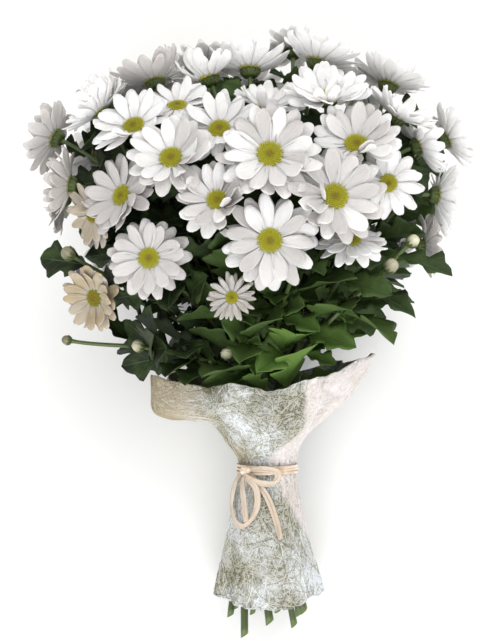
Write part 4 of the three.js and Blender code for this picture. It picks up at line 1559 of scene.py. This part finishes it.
                # The tint: painted grey shade on the front blooms, plus cream that is partly painted shade.
                shade = PAINTED_SHADE_TINT * self.painted_shade * (0.64 + 0.7 * self.draw(index, 12)) + self.cream_and_shade
                cast.stamp(form, self.petal(form, index, around, row), shade)
        self.lay_disc(cast, kit)
        self.lay_cup(cast, kit)
        return hand_over(cast.dress(finishes), Slot.PETAL, self.flower.name)


# ---- Leafy stems ------------------------------------------------------------------------------------

# Half of a leaf's outline, as shares of its length: how far along, and how far out.
LEAF_EDGE = (
    (0.0, 0.022),
    (0.13, 0.035),
    (0.22, 0.14),
    (0.3, 0.25),
    (0.37, 0.26),
    (0.42, 0.18),
    (0.47, 0.13),
    (0.54, 0.2),
    (0.61, 0.31),
    (0.68, 0.33),
    (0.74, 0.25),
    (0.8, 0.16),
    (0.86, 0.16),
    (0.92, 0.12),
    (1.0, 0.0),
)

# The middle of the painted light that brightens the leaves above the front of the wrap.
PAINTED_LIGHT_MIDDLE = np.array([34.0, -30.0, 56.0])


@dataclass
class LeafyStem:
    """A cut stem with its stalks, lobed leaves and buds, in place of one spray."""

    spray: Spray
    # Depth of a stem's ribs and slant of its cut end, as shares of its radius.
    ribs: float = 0.05
    cut_slant: float = 0.7
    # Depth of a leaf's teeth and ripples as shares of its length, and its thickness in mm.
    teeth: float = 0.022
    tooth_count: int = 17
    ripple: float = 0.022
    blade: float = 0.5
    # How far the painted light on the leaves reaches from its middle, and where the painted shade on the
    # leaves to the left is darkest.
    painted_light_reach: float = 46.0
    painted_shade_x: float = -80.0
    sepals: int = 10

    def lay_stem(self, cast: Cast, form: Form) -> None:
        """Lays the main stem, thicker at its joints and cut slantwise at its foot.

        Args:
            cast: The piece that it becomes part of.
            form: The tube to bend.
        """
        spray = self.spray
        radius = STEM_RADII[spray.index]
        part = np.linspace(0, 1, 40)[:, None]
        path = spray.foot * (1 - part) + spray.top * part
        ys = path[:, 1]

        def girth(z: np.ndarray, a: np.ndarray) -> np.ndarray:
            """The stem's radius at a share of its length and an angle round it."""
            y = np.interp(z, part[:, 0], ys)
            joints = sum(np.exp(-(((y - h) / 3.0) ** 2)) for h in LEAF_HEIGHTS)
            taper = 1 - 0.12 * z - 0.75 * smooth(z, 0.965, 1.0)
            return radius * taper * (1 + self.ribs * np.cos(5 * a)) * (1 + 0.2 * joints)

        points = tube_along(form, path, girth)
        x, _, z = form.points.T
        slant = np.where(z < 0.01, self.cut_slant * radius * x, 0.0)
        points[:, 1] += slant
        cast.stamp(form, points, np.where(z < 0.01, 1.0, 0.3 + 0.25 * smooth(z, 0.0, 0.25)))

    def lay_stalk(self, cast: Cast, form: Form, stalk: Stalk) -> None:
        """Lays a stalk from its fork to its flower, widened where it meets the cup.

        Args:
            cast: The piece that it becomes part of.
            form: The tube to bend.
            stalk: The stalk.
        """
        path = bezier_weights(np.linspace(0.0, 1.0, 26)) @ stalk.controls
        path = np.vstack([path, stalk.base + stalk.facing * 0.8])

        def girth(z: np.ndarray, a: np.ndarray) -> np.ndarray:
            """The stalk's radius at a share of its length and an angle round it."""
            return (1.75 - 0.4 * z + 0.7 * smooth(z, 0.92, 1.0)) * (1 + self.ribs * np.cos(4 * a))

        points = tube_along(form, path, girth)
        cast.stamp(form, pressed(points), 0.45 + 0.3 * noise(stalk.base[0], 3))

    def lay_leaf(self, cast: Cast, form: Form, leaf: Blade) -> None:
        """Lays a leaf with toothed lobes that point forward, a sunk rib and a waved edge.

        Args:
            cast: The piece that it becomes part of.
            form: The flat leaf.
            leaf: Where it lies.
        """
        x, y, layer = form.points.T
        shares, halves = (np.array(side) for side in zip(*LEAF_EDGE))
        half = np.interp(y, shares, halves)
        half *= 1 + 0.1 * (noise(leaf.seed, 7) - 0.5) * np.sin(6 * y)
        saw = np.abs((y * self.tooth_count + noise(leaf.seed, 6)) % 1.0 - 0.5) * 2
        half += self.teeth * saw * smooth(y, 0.2, 0.3) * (1 - smooth(y, 0.9, 1.0))
        out = x * half
        along = y + 0.35 * np.abs(out) * (1 - y)
        points = leaf.at(along, out)
        sunk = -0.5 * np.exp(-((x / 0.14) ** 2)) * smooth(y, 0.0, 0.2)
        wave = np.sin(14 * y + 9 * noise(leaf.seed, 8) + 1.5 * np.sign(x))
        wave *= self.ripple * leaf.length * np.abs(x) ** 1.5
        stalk = 0.9 * (1 - smooth(y, 0.1, 0.22)) * (1 - x**2)
        high = sunk + wave + (layer - 1) * (self.blade + stalk)
        points += leaf.face * high[:, None]
        # Painted light and shade: leaves near the front of the wrap are brightened, and leaves further left
        # are darkened.
        away = float(np.linalg.norm(points.mean(axis=0) - PAINTED_LIGHT_MIDDLE))
        painted_light = math.exp(-((away / self.painted_light_reach) ** 2))
        clear_of_painted_shade = float(smooth(points[:, 0].mean(), self.painted_shade_x, 0.0))
        tint = (0.07 + 0.25 * noise(leaf.seed, 9) ** 2 + 0.04 * (1 - layer)) * (0.02 + 0.98 * clear_of_painted_shade)
        tint = tint + (0.45 + 0.55 * noise(leaf.seed, 10)) * painted_light
        cast.stamp(form, pressed(points, 0.2 + 0.3 * layer), tint)

    def lay_bud(self, cast: Cast, kit: Kit, stalk: Stalk) -> None:
        """Lays an unopened bud: pale folded petals in a ring of green sepals.

        Args:
            cast: The piece that it becomes part of.
            kit: The forms to stamp.
            stalk: The stalk that carries it.
        """
        z = stalk.facing
        x = unit(np.cross([0.0, 1.0, 0.0], z))
        y = np.cross(z, x)
        middle = stalk.base + z * (0.7 * stalk.bud)
        a = np.arctan2(kit.bud.points[:, 1], kit.bud.points[:, 0])
        p = kit.bud.points * (stalk.bud * (1 + 0.06 * np.cos(8 * a)))[:, None]
        petals = (0.4 + 0.6 * smooth(kit.bud.points[:, 2], -0.2, 0.9)) * stalk.pale
        cast.stamp(kit.bud, middle + p @ np.array([x, y, z * 1.05]), petals)
        px, py, layer = kit.sepal.points.T
        for k in range(self.sepals):
            round_it = math.tau * k / self.sepals
            out = x * math.cos(round_it) + y * math.sin(round_it)
            side = y * math.cos(round_it) - x * math.sin(round_it)
            turn = -1.45 + 1.35 * py
            r = stalk.bud * 1.06 + 0.15 + 0.35 * layer
            across = -side * (px * stalk.bud * 0.34 * (1 - 0.8 * py**2))[:, None]
            body = out * (r * np.cos(turn))[:, None] + z * (r * np.sin(turn))[:, None]
            cast.stamp(kit.sepal, middle + body + across, 0.5)

    def build(self, kit: Kit, finishes: list[bpy.types.Material]) -> bpy.types.Object:
        """Builds the spray and hands it over in place of its solid.

        Args:
            kit: The forms to stamp.
            finishes: The materials that the forms name by number.

        Returns:
            The piece.
        """
        cast = Cast(self.spray.name + "_fine")
        self.lay_stem(cast, kit.stem)
        for stalk in self.spray.stalks:
            self.lay_stalk(cast, kit.stalk, stalk)
            if stalk.bud:
                self.lay_bud(cast, kit, stalk)
        for leaf in self.spray.leaves:
            self.lay_leaf(cast, kit.leaf, leaf)
        for leaf in self.spray.leaflets:
            self.lay_leaf(cast, kit.leaflet, leaf)
        return hand_over(cast.dress(finishes), Slot.LEAF, self.spray.name)


# ---- Wrap and ribbon --------------------------------------------------------------------------------


def through_four(p0: np.ndarray, p1: np.ndarray, p2: np.ndarray, p3: np.ndarray, f: np.ndarray) -> np.ndarray:
    """Points on a smooth line through p0 to p3, at shares f of the way from p1 to p2."""
    return p1 + 0.5 * f * (p2 - p0 + f * (2 * p0 - 5 * p1 + 4 * p2 - p3 + f * (3 * (p1 - p2) + p3 - p0)))


class Skin:
    """The wrap's outer surface as a smooth function of the angle round it and the ring up it."""

    STEPS = 168
    LEAST = 0.6

    def __init__(self) -> None:
        """Works out heights and radii at each ring for every step round."""
        angles = np.arange(self.STEPS) * math.tau / self.STEPS
        self.table = np.array([[wrap_ring(a, ring) for ring in range(WRAP_RINGS)] for a in angles])

    def ring_at(self, a: np.ndarray, t: np.ndarray) -> tuple[np.ndarray, np.ndarray]:
        """Heights and radii without wrinkles, at angles a and ring places t.

        Args:
            a: The angles.
            t: The ring places.

        Returns:
            The heights and the radii.
        """
        place = a / math.tau * self.STEPS
        i = np.floor(place).astype(int)
        part = (place - i)[:, None, None]
        rows = self.table[i % self.STEPS] * (1 - part) + self.table[(i + 1) % self.STEPS] * part
        k = np.clip(np.floor(t).astype(int), 0, WRAP_RINGS - 2)
        f = (t - k)[:, None]
        each = np.arange(len(t))
        p0, p1, p2, p3 = (rows[each, np.clip(k + d, 0, WRAP_RINGS - 1)] for d in (-1, 0, 1, 2))
        both = through_four(p0, p1, p2, p3, f)
        return both[:, 0], both[:, 1]

    def at(self, a: np.ndarray, t: np.ndarray, off: np.ndarray | float) -> np.ndarray:
        """Points on the wrap, with its creases and folds.

        Args:
            a: Angles round it.
            t: Places up it, from ring 0 to ring 8.
            off: How far off its outer skin.

        Returns:
            The points, pressed onto the table where they would lie below it.
        """
        y, r = self.ring_at(a, t)
        waist = np.exp(-(((t - WAIST_RING) / 0.8) ** 2))
        crease = waist * (0.75 * np.cos(31 * a + 2 * np.sin(3 * a)) - 0.75)
        away = smooth(np.abs(t - WAIST_RING), 0.5, 2.6)
        folds = away * (1.3 * np.sin(9 * a + 1.1 * t) + 0.8 * np.sin(17 * a - 1.9 * t + 1.0))
        crumple = away * 0.5 * np.sin(29 * a + 5 * np.sin(2.3 * t)) * np.sin(4.1 * t + 3 * a)
        ragged = 0.8 * np.sin(7 * a) + 0.4 * np.sin(23 * a) + 0.3 * np.sin(41 * a + 1.0)
        y = y + ragged * (smooth(t, 7.4, 8.0) - smooth(t, 0.5, 0.0))
        reach = r + crease + folds + crumple + off
        points = np.stack([AXIS_X + reach * np.cos(a), y, reach * np.sin(a)], axis=1)
        return pressed(points, np.maximum(0.0, self.LEAST - off))


@dataclass
class Wrap:
    """The flared wrap of fibre sheet: its cloth, and single fibres that lie on it."""

    skin: Skin
    thickness: float = 0.8
    around: int = 168
    rows: int = 64
    fibres: int = 3700
    fibre_steps: int = 8
    # Cells round the skin and up it, over which the starts of the fibres are shared out by area.
    fibre_cells: tuple[int, int] = (60, 40)
    # Width and length of the sheet laid flat, in metres.
    flat: tuple[float, float] = (0.33, 0.185)

    def cloth(self, finish: bpy.types.Material) -> bpy.types.Object:
        """The cloth itself.

        Args:
            finish: Its material.

        Returns:
            The piece.
        """
        form = sleeve_form(self.around, self.rows)
        x, y, z = form.points.T
        inner = np.hypot(x, y) < 0.95
        a = np.arctan2(y, x) % math.tau
        points = self.skin.at(a, z * (WRAP_RINGS - 1), np.where(inner, -self.thickness, 0.0))
        cast = Cast("wrap_cloth")
        cast.stamp(form, points, self.tint(points))
        piece = hand_over(cast.dress([finish]), Slot.WRAP, "wrap")
        return piece

    @staticmethod
    def tint(points: np.ndarray) -> np.ndarray:
        """Tint of the sheet by place: 0 is tan, at the left, partly painted shade; 1 is blush, where the
        right edge laps over.

        Args:
            points: Points of the sheet, one a row.

        Returns:
            A tint for each point.
        """
        x, y, z = points.T
        left = smooth(-x, 12, 66)
        left += 0.6 * smooth(10 - x, 0, 16) * smooth(y, -150, -100) * smooth(-78 - y, 0, 20)
        lap = 11 + 0.55 * np.maximum(0.0, -106 - y) + 26 * smooth(y, -100, -72)
        right = smooth(x - lap, 0, 7) * smooth(z, -20, 0)
        return 0.5 - 0.5 * np.minimum(left, 1.0) * (1 - right) + 0.5 * right

    def slope_at(self, a: np.ndarray, t: np.ndarray) -> tuple[np.ndarray, np.ndarray]:
        """The skin's length over a tenth of a ring up it, and twice its radius there."""
        y0, r0 = self.skin.ring_at(a, t - 0.05)
        y1, r1 = self.skin.ring_at(a, t + 0.05)
        return np.hypot(y1 - y0, r1 - r0), r0 + r1

    def fibre_starts(self, rng: np.random.Generator) -> tuple[np.ndarray, np.ndarray]:
        """Draws where the fibres start, evenly over the area of the skin.

        Args:
            rng: The source of the draws.

        Returns:
            The angles and the ring places.
        """
        top = WRAP_RINGS - 1
        sides, levels = self.fibre_cells
        across = np.arange(sides) * math.tau / sides
        a_cells, t_cells = np.meshgrid(across, (np.arange(levels) + 0.5) * top / levels, indexing="ij")
        a_cells, t_cells = a_cells.ravel(), t_cells.ravel()
        height, radii = self.slope_at(a_cells, t_cells)
        area = height * radii
        cells = rng.choice(len(area), size=self.fibres, p=area / area.sum())
        a = a_cells[cells] + rng.uniform(0, math.tau / sides, self.fibres)
        return a, np.clip(t_cells[cells] + rng.uniform(-0.1, 0.1, self.fibres), 0.1, top - 0.1)

    def fibre_paths(self, rng: np.random.Generator) -> np.ndarray:
        """Lets each fibre wander over the skin in a curl, turned back at the hem and the rim.

        Args:
            rng: The source of the draws.

        Returns:
            The points of each fibre in turn.
        """
        a, t = self.fibre_starts(rng)
        heading = rng.uniform(0, math.tau, self.fibres)
        bend = rng.normal(0, 0.34, self.fibres)
        stride = rng.uniform(2.4, 5.5, self.fibres)
        off = rng.uniform(0.1, 0.55, self.fibres)
        low, high = 0.03, WRAP_RINGS - 1 - 0.03
        lines = []
        for _ in range(self.fibre_steps + 1):
            lines.append(self.skin.at(a, t, off))
            height, radii = self.slope_at(a, t)
            a = a + stride * np.cos(heading) / (0.5 * radii)
            t = t + stride * np.sin(heading) * 0.1 / np.maximum(height, 0.5)
            heading = np.where((t < low) | (t > high), -heading, heading + bend)
            t = np.clip(t, low, high)
        return np.stack(lines, axis=1)

    def fibre_web(self, finishes: list[bpy.types.Material]) -> bpy.types.Object:
        """The fibres: long curled strands at random over the outer skin.

        Args:
            finishes: The materials that the forms name by number.

        Returns:
            The piece.
        """
        rng = np.random.default_rng(11)
        paths = self.fibre_paths(rng)
        forms = [tube_form(3, self.fibre_steps, finish) for finish in (0, 0, 1)]
        cast = Cast("wrap_fibres")
        for k, (path, girth) in enumerate(zip(paths, rng.uniform(0.15, 0.3, self.fibres))):
            form = forms[k % 3]
            points = tube_along(form, path, lambda z, _, g=girth: g * (1 - 0.5 * np.abs(2 * z - 1) ** 3))
            cast.stamp(form, points, self.tint(points))
        return hand_over(cast.dress(finishes), Slot.WRAP)


KNOT_AT = math.radians(128.0)
# Middle lines of the bow's loops and tails: mm to the right of the knot, up from the waist and off the wrap.
LOOPS = (
    ((-2, -1, 4), (-9, -9, 6), (-12, -24, 5), (-5, -38, 5))
    + ((5, -40, 5), (12, -28, 5), (10, -13, 6), (1, -5, 7)),
    ((2, 0, 4), (13, 2, 6), (24, -1, 6), (22, -9, 6), (10, -8, 7), (1, -3, 7)),
)
TAILS = (
    ((-1, -1, 4), (0, -10, 8), (3, -20, 9), (5, -30, 8), (6, -37, 6)),
    ((1, -1, 4), (10, -9, 4), (19, -20, 3), (27, -35, 2.5), (33, -50, 2.5)),
)


def wrap_radius(a: float, y: float) -> float:
    """Radius of the wrap's outer skin in a direction and at a height.

    Args:
        a: The angle round the axis.
        y: The height.

    Returns:
        The radius.
    """
    rings = [wrap_ring(a, ring) for ring in range(WRAP_RINGS)]
    above = next((k for k in range(1, WRAP_RINGS) if y <= rings[k][0]), WRAP_RINGS - 1)
    (low_y, low_r), (high_y, high_r) = rings[above - 1 : above + 1]
    return low_r + (high_r - low_r) * (y - low_y) / (high_y - low_y)


def off_wrap(right: float, up: float, off: float) -> np.ndarray:
    """A point beside the knot, held off the wrap.

    Args:
        right: How far to the right of the knot.
        up: How far above the waist.
        off: How far off the wrap.

    Returns:
        The point.
    """
    y = WAIST_Y + up
    a = KNOT_AT - right / (wrap_radius(KNOT_AT, y) + 4)
    r = wrap_radius(a, y) + off
    return np.array([AXIS_X + r * math.cos(a), y, r * math.sin(a)])


def through(knots: np.ndarray, count: int) -> np.ndarray:
    """Points on a smooth line through knots.

    Args:
        knots: The knots, one a row.
        count: The number of points.

    Returns:
        The points, one a row.
    """
    place = np.linspace(0, len(knots) - 1, count)
    k = np.minimum(place.astype(int), len(knots) - 2)
    f = (place - k)[:, None]
    return through_four(*(knots[np.clip(k + d, 0, len(knots) - 1)] for d in (-1, 0, 1, 2)), f)


@dataclass
class Ribbon:
    """The ribbon: a band of strands round the waist, a knot, and loops and tails of two strands each."""

    # Height of the band and the number of its strands, and the widths of the loops and the tails.
    band: float = 7.0
    strands: int = 3
    loop: float = 2.7
    tail: float = 2.3
    thick: float = 0.5
    # Radius of the knot and how far off the wrap it sits, and the inner radius of the band.
    knot: float = 4.4
    knot_off: float = 4.1
    inner: float = 22.4
    # How far each strand of a loop or tail swings off its middle line: right, up and off the wrap.
    apart: Triple = (1.0, 0.7, 0.4)

    def strip(self, form: Form, line: np.ndarray, wide: float, loose_end: bool) -> np.ndarray:
        """A strip along a line, with its face turned off the wrap and its edges curled a little.

        Args:
            form: The flat strip.
            line: Its middle line, in even steps.
            wide: Its width.
            loose_end: Whether its end hangs loose, so that only its start is pinched.

        Returns:
            The places of the form's points.
        """
        x, y, layer = form.points.T
        middle, _, _, ahead = along_path(y, line)
        off = middle - np.array([AXIS_X, 0.0, 0.0])
        off[:, 1] = 0
        off /= np.linalg.norm(off, axis=1)[:, None]
        across = np.cross(ahead, off)
        across /= np.linalg.norm(across, axis=1)[:, None]
        face = np.cross(across, ahead)
        pinch = 0.55 + 0.45 * smooth(y, 0.0, 0.2) * (1.0 if loose_end else 1 - smooth(y, 0.85, 1.0) * 0.5)
        curl = 0.1 * wide * x**2 + 0.12 * np.sin(9 * y) * x
        side = across * (x * wide * 0.5 * pinch)[:, None]
        return middle + side + face * (curl + (layer - 0.5) * self.thick)[:, None]

    def lay_band(self, cast: Cast) -> None:
        """Lays the band: strands that run round the waist, one above the other."""
        sleeve = sleeve_form(96, 3)
        x, y, z = sleeve.points.T
        a = np.arctan2(y, x)
        outer = np.hypot(x, y) > 0.95
        strand = self.band / self.strands
        for k in range(self.strands):
            reach = self.inner + (0.8 + 0.25 * np.sin(math.pi * z)) * outer + 0.15 * np.sin(5 * a + 2 * k)
            high = WAIST_Y + (k - 0.5 * self.strands + 0.06 + 0.88 * z) * strand + 0.35 * np.sin(2 * a + k)
            cast.stamp(sleeve, np.stack([AXIS_X + reach * np.cos(a), high, reach * np.sin(a)], axis=1))

    def lay_bow(self, cast: Cast) -> None:
        """Lays the loops and the tails, each of two strands that spread apart between their ends."""
        strip = blade_form(6, 44)
        for lines, wide, loose_end in ((LOOPS, self.loop, False), (TAILS, self.tail, True)):
            for line, shift in itertools.product(lines, (-1.0, 1.0)):
                apart = shift * np.array(self.apart)
                spread = np.sin(np.linspace(0.3, 2.6, len(line)))[:, None]
                knots = np.array([off_wrap(*p) for p in np.array(line) + apart * spread])
                cast.stamp(strip, self.strip(strip, through(knots, 60), wide, loose_end))

    def lay_knot(self, cast: Cast) -> None:
        """Lays the knot, a flattened ball with gathers."""
        ball = ball_form(24, 14)
        a = np.arctan2(ball.points[:, 2], ball.points[:, 0])
        gathers = 1 + 0.07 * np.cos(7 * a)
        knot = ball.points * np.array([1, 0.8, 0.9]) * self.knot * gathers[:, None]
        cast.stamp(ball, off_wrap(0, 0, GAP + self.knot_off) + knot)

    def build(self, finish: bpy.types.Material) -> bpy.types.Object:
        """Builds the ribbon and hands it over in place of its solid.

        Args:
            finish: Its material.

        Returns:
            The piece.
        """
        cast = Cast("ribbon_bow")
        self.lay_band(cast)
        self.lay_bow(cast)
        self.lay_knot(cast)
        return hand_over(cast.dress([finish]), Slot.RIBBON, "ribbon")


# ---- Studio -----------------------------------------------------------------------------------------


@dataclass
class Studio:
    """A plain pale floor, soft lights and a camera that looks down on the bunch."""

    aim: Triple = (0.0, 0.0026, 0.110)
    distance: float = 1.5
    elevation: float = 75.0
    focal: float = 113.0
    floor_size: float = 3.0
    floor_drop: float = 0.0004
    surround: float = 0.85

    def build(self, floor_finish: bpy.types.Material) -> None:
        """Sets up the floor, the lights, the surroundings and the camera.

        Args:
            floor_finish: The floor's material.
        """
        self.floor(floor_finish)
        self.light("key", (0.5, 1.1, 1.5), 1.5, 14.0, (1.0, 0.99, 0.97))
        self.light("fill", (-0.1, -1.6, 1.4), 1.6, 30.0, (0.99, 0.99, 1.0))
        world = bpy.data.worlds.new("studio")
        world.use_nodes = True
        background = world.node_tree.nodes["Background"]
        background.inputs["Color"].default_value = (1.0, 1.0, 1.0, 1.0)
        background.inputs["Strength"].default_value = self.surround
        bpy.context.scene.world = world
        bpy.context.scene.view_settings.view_transform = "Standard"
        self.camera()

    def floor(self, finish: bpy.types.Material) -> None:
        """Lays the floor, a hair's breadth below the table's height."""
        bm = bmesh.new()
        bmesh.ops.create_grid(bm, x_segments=1, y_segments=1, size=self.floor_size)
        bmesh.ops.translate(bm, vec=(0, 0, -self.floor_drop), verts=bm.verts)
        mesh = bpy.data.meshes.new("floor")
        bm.to_mesh(mesh)
        bm.free()
        mesh.materials.append(finish)
        floor = bpy.data.objects.new("floor", mesh)
        bpy.context.scene.collection.objects.link(floor)

    def light(self, name: str, at: Triple, size: float, power: float, colour: Colour) -> None:
        """Adds a square soft light that points at the bunch.

        Args:
            name: Its name.
            at: Its place in metres.
            size: Its width.
            power: Its watts.
            colour: Its colour.
        """
        lamp = bpy.data.lights.new(name, "AREA")
        lamp.size = size
        lamp.energy = power
        lamp.color = colour
        item = bpy.data.objects.new(name, lamp)
        item.location = at
        item.rotation_euler = (Vector(self.aim) - Vector(at)).to_track_quat("-Z", "Y").to_euler()
        bpy.context.scene.collection.objects.link(item)

    def camera(self) -> None:
        """Adds the camera above the foot of the bunch."""
        rise = math.radians(self.elevation)
        back = Vector((0.0, -math.cos(rise), math.sin(rise))) * self.distance
        lens = bpy.data.cameras.new("camera")
        lens.sensor_fit = "VERTICAL"
        lens.sensor_height = 36.0
        lens.lens = self.focal
        item = bpy.data.objects.new("camera", lens)
        item.location = Vector(self.aim) + back
        item.rotation_euler = (-back).to_track_quat("-Z", "Y").to_euler()
        bpy.context.scene.collection.objects.link(item)
        bpy.context.scene.camera = item


# Blooms tinted creamy tan, partly their own cream and partly painted shade where they stand in shadow, and
# how strongly.
CREAM_AND_SHADE = {
    5: 0.05,
    8: 0.12,
    11: 0.3,
    17: 0.85,
    18: 0.3,
    19: 0.12,
    21: 0.7,
    26: 0.15,
    29: 0.12,
    35: 0.2,
    38: 0.2,
}
# Blooms that reach less far than this are young, with more and narrower petals.
YOUNG_REACH = 20
# The heights between which the petals turn from white to the painted grey shade of the front blooms.
PAINTED_SHADE_HEIGHTS = (52.0, 96.0)
# The last of the blooms that are seen from close by.
LAST_NEAR = 32


def bloom_of(flower: Flower) -> Bloom:
    """The bloom for a flower of the layout, with its rows of petals and their tint.

    Args:
        flower: The flower.

    Returns:
        The bloom.
    """
    number = flower.seed
    rows = (17, 13, 0.1) if flower.reach < YOUNG_REACH else (13 + number % 3, 11 + number % 2, 0.168)
    # Painted shade: the nearer a bloom stands to the front, the greyer its petals.
    painted_shade = float(smooth(flower.middle[2], *PAINTED_SHADE_HEIGHTS))
    return Bloom(flower, *rows, cream_and_shade=CREAM_AND_SHADE.get(number, 0.0), painted_shade=painted_shade, near=number <= LAST_NEAR)


def main() -> None:
    """Builds the bunch piece by piece and the studio round it."""
    layout = Layout()
    kit = Kit()
    petal = PetalFinish().material()
    floret = FloretFinish().material()
    cup = GreenFinish("cup_green", (0.03, 0.05, 0.012), (0.13, 0.18, 0.045)).material()
    for flower in layout.flowers:
        bloom_of(flower).build(kit, [petal, floret, cup])
    stem = GreenFinish("stem_green", (0.018, 0.03, 0.008), (0.13, 0.19, 0.05), 0.45).material()
    leaf = LeafFinish().material()
    bud = GreenFinish("bud_cream", (0.07, 0.06, 0.02), (0.8, 0.78, 0.55)).material()
    for spray in layout.sprays:
        LeafyStem(spray).build(kit, [stem, leaf, cup, bud])
    Ribbon().build(RibbonFinish().material())
    wrap = Wrap(Skin())
    wrap.cloth(WebFinish("wrap_web", (0.17, 0.155, 0.085), (0.74, 0.77, 0.78), lines=0.5).material())
    pale = WebFinish("wrap_fibre", (0.6, 0.58, 0.48), (0.93, 0.96, 1.0))
    olive = WebFinish("wrap_fibre_olive", (0.2, 0.19, 0.1), (0.5, 0.5, 0.42))
    wrap.fibre_web([pale.material(), olive.material()])
    Studio().build(FloorFinish().material())


if __name__ == "__main__":
    logging.basicConfig(level=logging.INFO, format="%(message)s")
    main()
